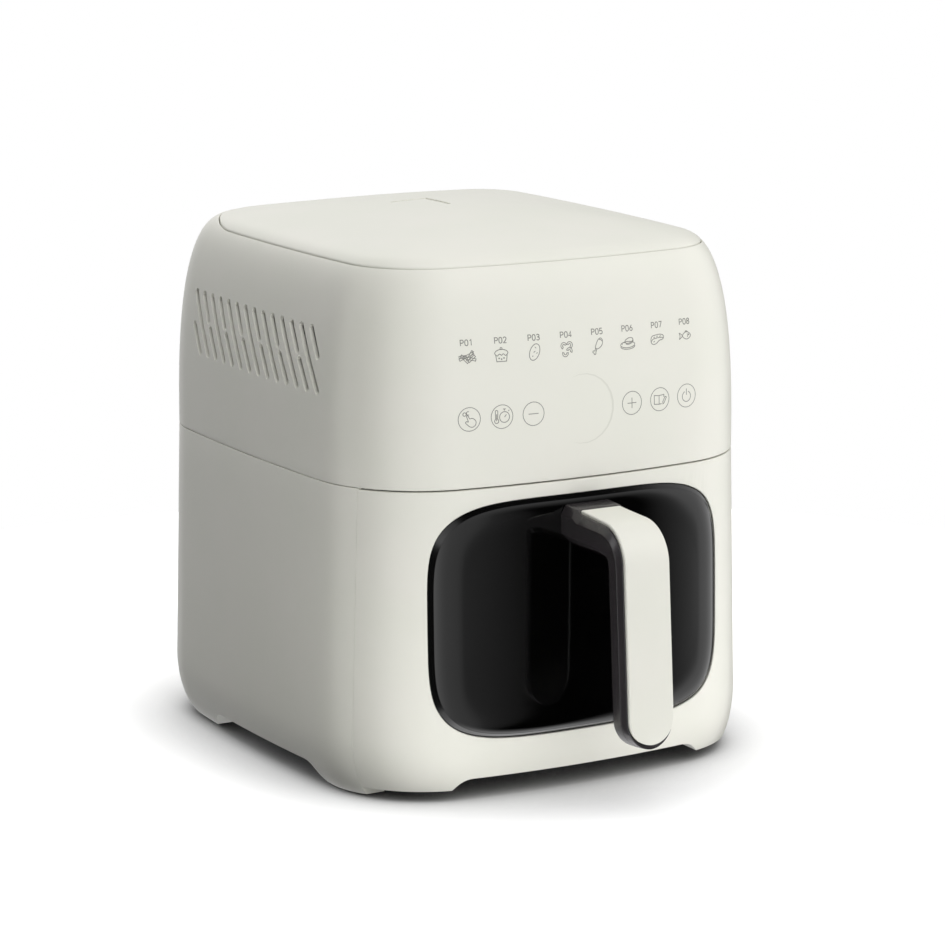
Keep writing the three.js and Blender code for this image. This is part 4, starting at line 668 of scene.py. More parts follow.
HANDLE_TOP_Z = 156.3
HANDLE_REACH = 58.14
HANDLE_SLOPE = 3.2 * DEG
HANDLE_LEAN = 4.2 * DEG
HANDLE_BEND = 22
HANDLE_TIP_Z = 36.7
HANDLE_HALF = 16.2
ROOT_DEPTH = 20.4
BEND_DEPTH = 18
GRIP_DEPTH = 14.6
# Half the width of the top, the outer and the inner chamfer.
ROOT_SECTION = np.array([13.2, 4.8, 5])
GRIP_SECTION = np.array([14.1, 3.4, 2.2])
LIP_DROP = 1.7
LIP_RUN = 0.6
COVER_HALF = 13.6
COVER_START_HALF = 12.2
COVER_DEPTH = 2.1
COVER_EDGE = 0.5
HANDLE_CORNER = 1.1
COVER_CORNER = 0.7
COVER_START = 13.5
COVER_HEADROOM = 5
TIP_TURN = 87.5 * DEG
ROOT_SINK = 8

ROOT_Y = front_y(0, HANDLE_TOP_Z, GLASS_RISE)
BEND_TURN = math.pi / 2 - HANDLE_SLOPE - HANDLE_LEAN
BEND_TANGENT = HANDLE_BEND * math.tan(BEND_TURN / 2)
BEND_CORNER_Z = HANDLE_TOP_Z - HANDLE_REACH * math.tan(HANDLE_SLOPE)
BEND_START = HANDLE_REACH / math.cos(HANDLE_SLOPE) - BEND_TANGENT
BEND_END = BEND_START + HANDLE_BEND * BEND_TURN
HANDLE_END = BEND_END + (BEND_CORNER_Z - HANDLE_TIP_Z) / math.cos(HANDLE_LEAN) - BEND_TANGENT


def handle_line(distance):
    """Outer line of the handle at a distance from its root: a point and the way inwards."""
    turn = min(BEND_TURN, max(0, (distance - BEND_START) / HANDLE_BEND))
    angle = HANDLE_SLOPE + turn
    straight = min(distance, BEND_START)
    along = straight * math.cos(HANDLE_SLOPE) + HANDLE_BEND * (math.sin(angle) - math.sin(HANDLE_SLOPE))
    down = straight * math.sin(HANDLE_SLOPE) + HANDLE_BEND * (math.cos(HANDLE_SLOPE) - math.cos(angle))
    rest = max(0, distance - BEND_END)
    return (
        ROOT_Y - along - rest * math.cos(angle), HANDLE_TOP_Z - down - rest * math.sin(angle),
        math.sin(angle), -math.cos(angle),
    )


def handle_section(distance):
    top, chamfer, inner = ROOT_SECTION + (GRIP_SECTION - ROOT_SECTION) * eased(distance, 0, BEND_END)
    lip = LIP_DROP * eased(distance, COVER_START - LIP_RUN, COVER_START + LIP_RUN)
    depth = ROOT_DEPTH + (BEND_DEPTH - ROOT_DEPTH) * eased(distance, 0, BEND_START)
    depth += (GRIP_DEPTH - BEND_DEPTH) * eased(distance, BEND_START, BEND_END)
    side = HANDLE_HALF
    half = [(top, lip), (side, lip + chamfer), (side, depth - inner), (side - inner, depth)]
    return rounded([(-top, lip), *half, *((-x, y) for x, y in half[:0:-1])], set(range(8)), HANDLE_CORNER, 4)


def cover_section(distance, top, bottom, grow):
    widened = (COVER_HALF - COVER_START_HALF) * eased(distance, COVER_START, BEND_END)
    side = COVER_START_HALF + widened + grow
    edge = min(COVER_EDGE, bottom - top)
    half = [(side, bottom), (side, top + edge), (side - edge, top)]
    return rounded([*((-x, y) for x, y in half), *half[::-1]], {1, 2, 3, 4}, COVER_CORNER, 3)


def handle_bar(start, half, section, *sizes):
    """A bar along the handle's line that ends in a half circle."""
    centre = HANDLE_END - HANDLE_HALF
    stations = np.concatenate([
        [start] if start < 0 else [], np.linspace(max(start, 0), BEND_START, 14),
        np.linspace(BEND_START, BEND_END, 26)[1:], np.linspace(BEND_END, centre, 12)[1:],
        centre + half * np.sin(np.linspace(0, TIP_TURN, 22)[1:]),
    ])
    rings = []
    for distance in stations:
        y, z, inward_y, inward_z = handle_line(distance)
        width = math.sqrt(half ** 2 - max(0, distance - centre) ** 2) / half
        x, depth = np.transpose(section(distance, *sizes))
        rings.append(np.c_[x * width, y + inward_y * depth, z + inward_z * depth])
    return loft(rings)


def handle_body():
    bar = handle_bar(-ROOT_SINK, HANDLE_HALF, handle_section)
    root = skin(60, SEAM_Z + 20, -(GLASS_RISE + 0.05), levels=[80, 100, 120, 140, 160])
    recess = handle_bar(
        COVER_START, COVER_HALF + GAP, cover_section, -COVER_HEADROOM, COVER_DEPTH + GAP, GAP)
    return cut(bar, root, recess)


def handle_cover():
    return handle_bar(COVER_START + GAP, COVER_HALF, cover_section, 0, COVER_DEPTH, 0)


# ---------- lid mark, touch panel prints and the painted ring shade

MARK_PLACE = (-6, 19)
MARK_ARMS = (22, 27)
MARK_WIDTH = 2.4
MARK_DEPTH = 0.9
MARK_LOW = 250
MARK_HIGH = 350


def mark_cutter():
    """The plain corner-shaped groove in the lid."""
    (x, y), (left, back), half = MARK_PLACE, MARK_ARMS, MARK_WIDTH / 2
    corner = [
        (x - left, y - half), (x - left, y + half), (x + half, y + half), (x + half, y - back),
        (x - half, y - back), (x - half, y - half),
    ]
    return cut(prism(corner, MARK_LOW, MARK_HIGH, 2), lid_block(MARK_DEPTH))


RIBBON_RISE = 0.04
RIBBON_SINK = 0.15
CIRCLE_LINE = 0.36
ICON_LINE = 0.4
LABEL_LINE = 0.46
LABEL_Z = 245.8
ICON_Z = 238.2
TOUCH_Z = 205.9
TOUCH_RADIUS = 6.25
DIAL_RADIUS = 18.5
DIAL_LINE = 1.1
TOUCH_SCALE = 0.95
ICON_X = [-67.2, -47.9, -28.5, -9.2, 10, 29.3, 48.7, 67.7]
TOUCH_X = [-67.4, -48.8, -30.4, 30.7, 49.2, 67.5]
LETTER_SIZE = np.array([1.75, 3])
LETTER_STEP = 2.5


def arc(x, z, radius, start=0, end=360, flat=1, lean=0):
    """Part of a circle or ellipse as [x, z] points; angles in degrees."""
    angles = np.linspace(start, end, max(4, round(abs(end - start) / 15) + 1)) * DEG
    turn = lean * DEG
    matrix = [[math.cos(turn), math.sin(turn)], [-math.sin(turn), math.cos(turn)]]
    return radius * np.c_[np.cos(angles), flat * np.sin(angles)] @ matrix + [x, z]


def curve(*points, closed=False):
    """A smooth line through points."""
    points = np.array(points, float)
    if closed:
        points = np.vstack([points[-1:], points, points[:2]])
    else:
        points = np.vstack([2 * points[0] - points[1], points, 2 * points[-1] - points[-2]])
    result = []
    for a, b, c, d in zip(points, points[1:], points[2:], points[3:]):
        for t in (0, 0.25, 0.5, 0.75):
            bend = 2 * a - 5 * b + 4 * c - d + t * (3 * (b - c) + d - a)
            result.append(b + 0.5 * t * (c - a + t * bend))
    return np.array(result + [points[-2]])


def ribbon(points, width):
    """A thin flat strip on the front along [x, z] points, closed if they end where they start."""
    points = np.array(points, float)
    closed = np.allclose(points[0], points[-1])
    ahead = np.diff(points, axis=0)
    ahead /= np.linalg.norm(ahead, axis=1)[:, None]
    if closed:
        points, behind = points[:-1], np.roll(ahead, 1, axis=0)
    else:
        ahead, behind = np.vstack([ahead, ahead[-1:]]), np.vstack([ahead[:1], ahead])
    along = ahead + behind
    along /= np.maximum(np.linalg.norm(along, axis=1), 0.3)[:, None]
    reach = np.minimum(1 / np.maximum((along * ahead).sum(1), 0.5), 1.6)
    half = np.c_[-along[:, 1], along[:, 0]] * (reach * np.asarray(width) / 2)[:, None]
    sides = [(half, RIBBON_RISE), (-half, RIBBON_RISE), (-half, -RIBBON_SINK), (half, -RIBBON_SINK)]
    places = [[(x, upper_front_y(x, z, out), z) for x, z in points + aside] for aside, out in sides]
    return loft(np.transpose(places, (1, 0, 2)), endless=closed)


# Points in hundredths of a letter's width and height.
GLYPHS = {
    "P": [np.vstack([[(0, 0), (0, 100), (55, 100)], curve((85, 95), (100, 76), (85, 54), (50, 48)),
          [(0, 48)]])],
    "0": [curve((50, 100), (88, 88), (100, 50), (88, 12), (50, 0), (12, 12), (0, 50), (12, 88),
          closed=True)],
    "1": [[(15, 80), (60, 100), (60, 0)]],
    "2": [np.vstack([curve((3, 78), (18, 95), (52, 100), (88, 88), (90, 66), (60, 36), (0, 0)),
          [(100, 0)]])],
    "3": [curve((3, 88), (45, 100), (86, 88), (84, 64), (40, 54), (86, 43), (94, 16), (50, 0), (0, 12))],
    "4": [[(74, 0), (74, 100), (0, 27), (100, 27)]],
    "5": [np.vstack([[(90, 100), (14, 100)], curve((6, 52), (50, 63), (93, 46), (90, 14), (45, 0),
          (0, 12))])],
    "6": [curve((74, 100), (30, 66), (6, 34)), arc(50, 30, 46, flat=0.62)],
    "7": [[(0, 100), (100, 100), (36, 0)]],
    "8": [arc(50, 76, 40, flat=0.58), arc(50, 27, 48, flat=0.55)],
}


def stick(x, z, length, lean, width=1.15):
    along = np.array([math.cos(lean * DEG), math.sin(lean * DEG)]) * length / 2
    side = np.array([-along[1], along[0]]) * width / length
    return np.array([along + side, along - side, -along - side, side - along, along + side]) + [x, z]


def crescent(x, z, start, end):
    shape = np.vstack([arc(x, z, 1.75, start, end), arc(x, z, 0.75, end, start)])
    return np.vstack([shape, shape[:1]])


FOODS = [
    # chips
    [stick(-0.5, 0.5, 8.6, 22), stick(0.5, -0.5, 8.6, -15), stick(1.5, 0.7, 5.8, 56),
     stick(-1.6, -0.8, 5.4, -46), stick(2.4, -0.8, 4.6, 38), stick(-2.6, 0.4, 4, 4)],
    # cake
    [arc(0, 3.3, 0.55), curve((-3.3, 0.1), (-3.8, 1), (-2.8, 2.2), (0, 2.9), (2.8, 2.2), (3.8, 1),
     (3.3, 0.1)), curve((-3.3, 0.1), (-2.3, -0.4), (-1.1, 0.5), (0, -0.2), (1.1, 0.5), (2.3, -0.4),
     (3.3, 0.1)), [(-3.3, 0.1), (-2.8, -3.4), (2.8, -3.4), (3.3, 0.1)], arc(-1.4, -1.7, 0.22),
     arc(0, -2.2, 0.22), arc(1.4, -1.7, 0.22)],
    # potato
    [arc(0, 0, 4.5, flat=0.62, lean=64), [(0.3, 2.6), (1, 2)], [(-0.6, -0.2), (0.4, 0.5)],
     [(1.1, -0.9), (1.6, -0.2)], [(-1.6, -2.2), (-0.9, -1.9)]],
    # prawns
    [crescent(-1.7, 1.8, 20, 240), crescent(1.8, 2, -70, 160), crescent(1.5, -1.1, -30, 160),
     crescent(-1, -2.2, 160, 370)],
    # drumstick
    [curve((-1.5, -0.9), (-0.9, 1.2), (0.5, 3.4), (2.2, 4), (3.1, 2.7), (2.8, 0.6), (1.3, -0.9),
     (-0.3, -1.5), closed=True), curve((-1.5, -1.1), (-2, -2.4), (-3, -2.4), (-3.3, -3.2), (-2.6, -3.6),
     (-2.4, -4.3), (-1.5, -4.1), (-1.4, -3.2), (-0.7, -1.6)), arc(1.5, 2.1, 1.2, 10, 110)],
    # burger patty
    [arc(-0.2, -1, 4.6, flat=0.36), arc(-0.2, -1.8, 4.6, 180, 360, flat=0.36),
     arc(0.7, 1.1, 2.7, flat=0.5, lean=14), arc(0.9, 0.5, 2.6, 200, 372, flat=0.5, lean=14),
     arc(-2.6, -0.4, 1.3, 40, 220, flat=0.5)],
    # steak
    [curve((-4.2, 0.2), (-3.3, 1.8), (-0.8, 2.3), (2.4, 2.4), (4.2, 1.5), (3.7, -0.2), (1.2, -0.8),
     (-0.6, -2.2), (-2.7, -2.6), (-4, -1.6), closed=True), curve((-3.9, -0.9), (-2.8, 0.2), (0.2, 0.7),
     (3, 0.7), (4, 0.4)), [(-2.4, 0.9), (-1.6, 1.3)], [(-0.4, 1.2), (0.4, 1.7)], [(1.6, 1.2), (2.4, 1.7)],
     [(-2.6, -1.4), (-1.8, -0.9)]],
    # fish
    [curve((-1.8, 0), (0.3, 1.8), (2.4, 1.6), (3.9, 0), (2.4, -1.6), (0.3, -1.8), closed=True),
     curve((-1.8, 0.2), (-2.7, 0.9), (-3.9, 1.6), (-3.4, 0), (-3.9, -1.6), (-2.7, -0.9), (-1.8, -0.2)),
     arc(2.6, 0.4, 0.24), arc(0.7, 0, 1.2, -50, 50), curve((-0.1, 1.6), (0.8, 2.5), (2, 1.8))],
]
TOUCHES = [
    # hand
    [arc(-2.8, 2.9, 0.95), arc(-0.7, 3.4, 0.95, 60, 300), curve((-1.6, 1.6), (-1.1, 2.2), (-0.5, 1.7),
     (0.2, 0.3), (1.5, 0.5), (3, -0.2), (3.9, -1.4), (3.7, -3.2), (2.2, -4.4), (0.4, -4.2), (-1.4, -2.8),
     (-2.3, -1.7), (-1.6, -1.1), (-0.6, -1.3), closed=True)],
    # thermometer and clock
    [np.vstack([arc(-3.3, 3, 0.75, 0, 180), arc(-3.3, -2.3, 1.25, 120, 420), [(-2.55, 3)]]),
     arc(1.5, -0.3, 3), [(1.5, 3.3), (1.5, 4.2)], [(0.7, 4.2), (2.3, 4.2)], [(1.5, -0.3), (2.7, 1.1)],
     [(3.9, 2.9), (4.4, 3.4)], [(-3.3, 1.6), (-3.3, -2.3)]],
    # less
    [[(-3.1, 0), (3.1, 0)]],
    # more
    [[(-3, 0), (3, 0)], [(0, -3), (0, 3)]],
    # open book and pen
    [[(-0.5, 2.1), (-3.9, 2.5), (-3.9, -2.5), (-0.5, -2.8), (-0.5, 2.1), (2.9, 2.5), (2.9, 1)],
     [(-0.5, -2.8), (1.3, -2.6)], [(2.2, -2.9), (2.1, -1.6), (3.8, 1.3), (4.7, 0.8), (3.1, -2.2),
     (2.2, -2.9)]],
    # power
    [arc(0, -0.4, 3, 115, 425), [(0, 0.4), (0, 4)]],
]


def draw(drawing, scale, place, width):
    """The ribbons of a drawing, scaled and moved to its place."""
    return [ribbon(np.array(points) * scale + place, width) for points in drawing]


def panel_print():
    ribbons = []
    for number, (x, food) in enumerate(zip(ICON_X, FOODS), 1):
        ribbons += draw(food, 1, [x, ICON_Z], ICON_LINE)
        for place, letter in enumerate(f"P0{number}"):
            corner = [x + (place - 1) * LETTER_STEP, LABEL_Z] - LETTER_SIZE / 2
            ribbons += draw(GLYPHS[letter], LETTER_SIZE / 100, corner, LABEL_LINE)
    for x, sign in zip(TOUCH_X, TOUCHES):
        ribbons.append(ribbon(arc(x, TOUCH_Z, TOUCH_RADIUS), CIRCLE_LINE))
        ribbons += draw(sign, TOUCH_SCALE, [x, TOUCH_Z], ICON_LINE)
    return merge(ribbons)


def dial_ring_shade():
    """Painted shade: a faint ring whose line fades out towards the left. It stands in for the shading of the
    engraved ring round the display, which the light picks out on its right half only.
    """
    points = arc(0, TOUCH_Z, DIAL_RADIUS, -112, 112)
    turn = np.linspace(-1, 1, len(points))
    return ribbon(points, DIAL_LINE * (1 - turn ** 2) + 0.02)


# ---------- rear fittings, basket and feet

LOUVRES = 6
LOUVRE_HALF = 28
LOUVRE_HEIGHT = 2.1
LOUVRE_TILT = math.tan(20 * DEG)
DUCT_MARGIN = 6
BUSH_PROFILE = [
    (3.7, -9), (9.5, -9), (9.5, 1.9), (9.35, 2.25), (9, 2.5), (6.2, 3.15), (5.5, 3.4), (4.4, 3.4),
    (3.9, 3.25), (3.7, 2.9),
]


def extent(node):
    """A CAD node's lowest and highest corners, in housing coordinates."""
    low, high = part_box(node)
    return [(np.array(corner) - [0, MIDDLE_Y, 0]) / MM for corner in (low, high)]


def turned(profile, centre, axis, sides=64, endless=False):
    """A profile of [radius, height] points turned about an axis through a point."""
    rings = [np.insert(radius * circle(sides), axis, height, axis=1) + centre for radius, height in profile]
    return loft(rings, endless)


def rear_grille():
    heights = np.linspace(GRILLE_LOW - 2, GRILLE_HIGH + 2, 21)
    plate, core = (
        loft([flat_ring(upper_inset(z) + inside, z) for z in heights]) for inside in (0, WALL))
    keep(cut(plate, core), grille_opening(GAP))
    face = extent("rear_grille")[1][1]
    low, high = GRILLE_LOW + DUCT_MARGIN, GRILLE_HIGH - DUCT_MARGIN
    pitch = (high - low) / LOUVRES
    slot = stadium(2 * LOUVRE_HALF - LOUVRE_HEIGHT, LOUVRE_HEIGHT)
    along, across = slot[:, 1] - (LOUVRE_HALF - LOUVRE_HEIGHT / 2), slot[:, 0]
    for louvre in range(LOUVRES):
        z = low + pitch * (louvre + 0.5)
        ends = [(face + out, z - LOUVRE_TILT * out) for out in (-30, 10)]
        cut(plate, loft([np.c_[along, np.full(len(slot), y), across + middle] for y, middle in ends]))
    return plate


def lead_bush():
    low, high = extent("cord_gland")
    centre = (low + high) / 2
    centre[1] = high[1] - max(height for _, height in BUSH_PROFILE)
    bush = turned(BUSH_PROFILE, centre, 1, endless=True)
    wall = cut(skin(low[2] - 10, high[2] + 10, -GAP / 2), skin(low[2] - 11, high[2] + 11, WALL + GAP / 2))
    return cut(bush, cut(wall, rod(GLAND, GLAND_RADIUS, REAR_CUT, FAR, 1)))


BASKET_WALL = 1.3
BASKET_TAPER = 5
BASKET_CORNER = 24
BASKET_FLOOR_RADIUS = 7
RIM_WIDTH = 3
RIM_THICKNESS = 2
RIM_EDGE = 0.7
PLATE_INSET = 3.8
PLATE_EDGE = 0.6
PLATE_ROWS = 7
PLATE_MARGIN = 15
SLOT_LENGTH = 60
SLOT_WIDTH = 5
SLOT_X = 39.4
SLOT_CHAMFER = 0.5
PAD_EDGE = 0.8
FOOT_EDGE = 1.8


def basket_ring(z, inset):
    """A ring of the basket's wall, which narrows to its floor at the sides and the rear."""
    low, high = extent("basket")
    taper = BASKET_TAPER * (high[2] - z) / (high[2] - low[2])
    half = high[0] - RIM_WIDTH - taper - inset
    front, rear = low[1] + inset, high[1] - RIM_WIDTH - taper - inset
    radius = BASKET_CORNER - inset
    points = []
    for x, y, start in ((half, front, -90), (half, rear, 0), (-half, rear, 90), (-half, front, 180)):
        middle = np.array([x - math.copysign(radius, x), y + (radius if y == front else -radius)])
        turns = np.linspace(start, start + 90, 14) * DEG
        points.append(middle + radius * np.c_[np.cos(turns), np.sin(turns)])
    return at_height(np.maximum(np.vstack(points), [-FAR, low[1]]), z)


def basket():
    low, high = extent("basket")
    floor, rim = low[2], high[2]
    bends = edge_steps(BASKET_FLOOR_RADIUS, 9)
    edge = edge_steps(RIM_EDGE)
    rings = [basket_ring(floor + BASKET_WALL + up, BASKET_WALL + aside) for aside, up in bends[::-1]]
    rings += [basket_ring(rim - down, BASKET_WALL - aside) for down, aside in edge[::-1]]
    rings += [basket_ring(rim - down, aside - RIM_WIDTH) for aside, down in edge[::-1]]
    rings += [basket_ring(rim - RIM_THICKNESS, -RIM_WIDTH), basket_ring(rim - RIM_THICKNESS, 0)]
    rings += [basket_ring(floor + up, aside) for aside, up in bends]
    return loft(rings)


def slotted_plate():
    low, high = extent("crisper_plate")
    basket_low, basket_high = extent("basket")
    rings = [basket_ring(low[2], PLATE_INSET)]
    for aside, down in edge_steps(PLATE_EDGE):
        rings.append(at_height(basket_ring(low[2], PLATE_INSET + aside)[:, :2], high[2] - down))
    plate = loft(rings)
    start = basket_low[1] + PLATE_MARGIN
    pitch = (basket_high[1] - RIM_WIDTH - PLATE_MARGIN - start) / PLATE_ROWS
    top = high[2]
    mouth = [(0, low[2] - 1), (0, top - SLOT_CHAMFER), (SLOT_CHAMFER, top), (SLOT_CHAMFER, top + 1)]
    run = SLOT_LENGTH - SLOT_WIDTH
    for row in range(PLATE_ROWS):
        for x in (-SLOT_X, SLOT_X):
            middle = [x - run / 2, start + pitch * (row + 0.5)]
            cut(plate, loft([
                at_height(stadium(run, SLOT_WIDTH + 2 * grow)[:, ::-1] + middle, z) for grow, z in mouth]))
    return plate


def round_foot(node, edge):
    """A round foot in its node's box, with a rounded lower edge."""
    low, high = extent(node)
    radius = (high[1] - low[1]) / 2
    middle = np.array([*(low + high)[:2] / 2, low[2]])
    profile = [(radius - across, down) for across, down in reversed(edge_steps(edge, 6))]
    return turned(profile + [(radius, high[2] - low[2])], middle, 2, 48)


# ---------- finishes

def rgb(levels):
    """sRGB levels from 0 to 255 as a colour in linear light."""
    shares = np.array(levels) / 255
    return [*np.where(shares <= 0.04045, shares / 12.92, ((shares + 0.055) / 1.055) ** 2.4), 1]


class Tree:
    """Shorthand for building a node tree."""

    def __init__(self, owner):
        owner.use_nodes = True
        self.nodes, self.links = owner.node_tree.nodes, owner.node_tree.links

    def feed(self, node, inputs):
        """Links each input to a socket or sets it to a constant."""
        for name, value in inputs.items():
            if isinstance(value, bpy.types.NodeSocket):
                self.links.new(value, node.inputs[name])
            else:
                node.inputs[name].default_value = value

    def add(self, kind, inputs, output=0, **settings):
        """Adds a node, feeds it and gives back one of its outputs."""
        node = self.nodes.new("ShaderNode" + kind)
        for name, value in settings.items():
            setattr(node, name, value)
        self.feed(node, inputs)
        return node.outputs[output] if node.outputs else None

    def ramp(self, share, stops):
        """Runs through [position, colour] stops."""
        node = self.nodes.new("ShaderNodeValToRGB")
        elements = node.color_ramp.elements
        while len(elements) < len(stops):
            elements.new(0.5)
        for element, (position, _) in zip(elements, stops):
            element.position = position
        for element, (_, colour) in zip(elements, stops):
            element.color = colour
        self.links.new(share, node.inputs["Fac"])
        return node.outputs["Color"]

    def calc(self, operation, *values):
        return self.add("Math", dict(enumerate(values)), operation=operation)

    def blend(self, share, first, second):
        """The first value at share 0, the second at share 1."""
        return self.calc("MULTIPLY_ADD", share, self.calc("SUBTRACT", second, first), first)

    def smooth(self, value, low, high):
        limits = {"Value": value, "From Min": low, "From Max": high}
        return self.add("MapRange", limits, "Result", interpolation_type="SMOOTHSTEP")

    def levels(self, turn, stops):
        """A level that runs through [compass angle, level] stops."""
        shades = [(0.5 + angle / 360, [level / LEVEL_LIMIT] * 3 + [1]) for angle, level in stops]
        return self.calc("MULTIPLY", self.ramp(turn, shades), LEVEL_LIMIT)

    def mix(self, share, first, second):
        return self.add("MixShader", {"Fac": share, 1: first, 2: second})

    def ray(self, kind):
        return self.add("LightPath", {}, f"Is {kind} Ray")

    def part(self, space, axis):
        """One coordinate of the shaded point or of the view's direction."""
        return self.add("SeparateXYZ", {0: self.add("TexCoord", {}, space)}, axis)


def finish(name, colour, other, roughness, grain=1500, bump=0.05, blotch=25, metallic=0, brushed=(1, 1, 1),
           spread=0.06):
    """A procedural finish: two close colours in soft patches, and a fine grain that breaks up the
    gloss and the surface. Brushed metal has its grain drawn out along one axis."""
    material = bpy.data.materials.new(name)
    tree = Tree(material)
    place = tree.add("TexCoord", {}, "Object")
    patches = tree.add("TexNoise", {"Vector": place, "Scale": blotch, "Detail": 3}, "Fac")
    stretched = tree.add("Mapping", {"Vector": place, "Scale": brushed}, "Vector")
    speckle = tree.add("TexNoise", {"Vector": stretched, "Scale": grain, "Detail": 2}, "Fac")
    gloss = {"Value": speckle, "To Min": max(0.01, roughness - spread), "To Max": roughness + spread}
    surface = {"Height": speckle, "Strength": bump, "Distance": 0.0002}
    tree.feed(tree.nodes["Principled BSDF"], {
        "Base Color": tree.ramp(patches, [(0.35, rgb(colour)), (0.65, rgb(other))]),
        "Roughness": tree.add("MapRange", gloss, "Result"), "Normal": tree.add("Bump", surface, "Normal"),
        "Metallic": metallic,
    })
    return material


SLOT_FINISH = {
    "cream_plastic": finish("cream", (228, 228, 218), (230, 229, 220), 0.4),
    "gloss_black": finish("gloss_black", (2, 2, 2), (4, 4, 4), 0.06, grain=60, bump=0.004, spread=0.02),
    "handle_black": finish("handle_black", (43, 40, 42), (47, 44, 46), 0.24, grain=1800, bump=0.06),
    "dark_plastic": finish("dark_plastic", (38, 38, 39), (46, 46, 47), 0.55, grain=1300, bump=0.2),
    "rubber": finish("rubber", (52, 52, 52), (64, 63, 62), 0.85, grain=1600, bump=0.3),
    "coated_steel": finish(
        "coated_steel", (44, 44, 46), (54, 54, 56), 0.42, grain=1700, bump=0.35, metallic=0.3),
    "plain_steel": finish("plain_steel", (186, 187, 189), (200, 201, 203), 0.3, grain=900, bump=0.08,
                          metallic=1, brushed=(1, 1, 0.06)),
    "element_steel": finish(
        "element_steel", (96, 90, 84), (122, 112, 100), 0.45, grain=800, bump=0.3, blotch=60, metallic=0.9),
    "aluminium": finish("aluminium", (196, 198, 200), (212, 213, 214), 0.34, grain=1100, bump=0.1,
                        metallic=1, brushed=(0.08, 1, 1)),
    "circuit_board": finish(
        "circuit_board", (20, 78, 48), (30, 96, 58), 0.4, grain=400, bump=0.25, blotch=120),
}
BEZEL = finish("bezel_black", (4, 4, 4), (7, 7, 7), 0.12, grain=700, bump=0.02)
PRINT = finish("print_grey", (128, 128, 122), (136, 135, 130), 0.5, bump=0.02)
# Painted shade: a colour a little darker than the cream, for the line that stands in for the shading of the
# engraved ring round the display.
RING_SHADE = finish("painted_ring_shade", (216, 216, 206), (219, 219, 209), 0.45, bump=0.02)

for part in frame["record"]["subparts"]:
    for place in frame["nodes"][part["node"]].material_slots:
        place.material = SLOT_FINISH[part["material_slot"]]

# ---------- the pieces

def piece(shape, name, body, slot, *replaced, material=None):
    """Names a finished shape, gives it its finish and hangs it on its body. A shape that stands
    for CAD nodes is shaded smooth, and those nodes are hidden; the prints and the painted ring shade are
    flat."""
    shape.name = name
    shape.data.name = name
    shape.data.materials.clear()
    shape.data.materials.append(material or SLOT_FINISH[slot])
    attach(shape, body)
    if replaced:
        soften(shape)
        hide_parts(*replaced)


upper = cut(upper_shell(), vent_cutters(-1), vent_cutters(1), grille_opening(0))
lid = cut(top_cover(), mark_cutter())
piece(upper, "shell_upper", "housing", "cream_plastic", "upper_housing")
piece(lid, "lid", "housing", "cream_plastic", "top_cover")
piece(panel_print(), "panel_print", "housing", "dark_plastic", material=PRINT)
# Painted shade of the engraved ring round the display, drawn as a faint line on the front.
piece(dial_ring_shade(), "dial_ring_shade", "housing", "cream_plastic", material=RING_SHADE)
piece(lower_housing(), "shell_lower", "housing", "cream_plastic", "lower_housing")
piece(drawer_front(), "drawer_face", "drawer", "cream_plastic", "drawer_front")
piece(window_bezel(), "window_frame", "drawer", "gloss_black", "window_bezel", material=BEZEL)
piece(window_panel(), "window_glass", "drawer", "gloss_black", "window_panel")
piece(handle_body(), "handle_core", "drawer", "handle_black", "handle_body")
piece(handle_cover(), "handle_face", "drawer", "cream_plastic", "handle_cover")
piece(rear_grille(), "louvre_panel", "housing", "cream_plastic", "rear_grille")
piece(lead_bush(), "lead_bush", "housing", "dark_plastic", "cord_gland")
piece(basket(), "bowl", "drawer", "coated_steel", "basket")
piece(slotted_plate(), "slotted_tray", "crisper", "coated_steel", "crisper_plate")
for corner in ("front_left", "front_right", "rear_left", "rear_right"):
    pad, foot = f"foot_pad_{corner}", f"plate_foot_{corner}"
    piece(round_foot(pad, PAD_EDGE), f"pad_{corner}", "housing", "rubber", pad)
    piece(round_foot(foot, FOOT_EDGE), f"tray_foot_{corner}", "crisper", "rubber", foot)

# ---------- floor, light and camera

# Light levels round the object, by compass angle: 0 is in front of it, 90 on its right.
# The diffuse levels light it; the mirror levels are what gloss shows, with a dark flag that
# stands before the window.
LEVEL_LIMIT = 4
SIDE_LIGHT = [
    (-180, 1.2), (-150, 1.28), (-125, 0), (-60, 0), (-35, 0.05), (-15, 1.55), (0, 1.84), (30, 1.55),
    (60, 0.45), (90, 0.1), (120, 0.05), (150, 0.4), (180, 1.2),
]
ZENITH_LIGHT = 2.2
ZENITH = (38 * DEG, 78 * DEG)
MIRROR_LIGHT = [
    (-180, 1), (-150, 0.6), (-122, 0.05), (-116, 0.05), (-112, 3), (-102, 3), (-98, 0.05), (-64, 0.05),
    (-59.5, 1.75), (-52, 1.5), (-44, 1.28), (-36, 1.1), (-24, 0.94), (-13, 0.88), (-5, 0.83), (6, 0.75),
    (11.5, 0.58), (13.5, 0.43), (18, 0.28), (22.5, 0.13), (24.5, 0), (40, 0), (43.5, 0.26), (46, 0.45),
    (48, 0.72), (50, 1), (53, 1.25), (80, 1.4), (104, 1.4), (112, 0.2), (130, 0.1), (165, 1),
]
MIRROR_ABOVE = 0.9
OVERHEAD = (39 * DEG, 49 * DEG)
MIRROR_BELOW = 3.4
ABOVE = (20 * DEG, 44 * DEG)
BELOW = (45 * DEG, 68 * DEG)

FLOOR_RADIUS = 0.62
FLOOR_SEEN = 1.75
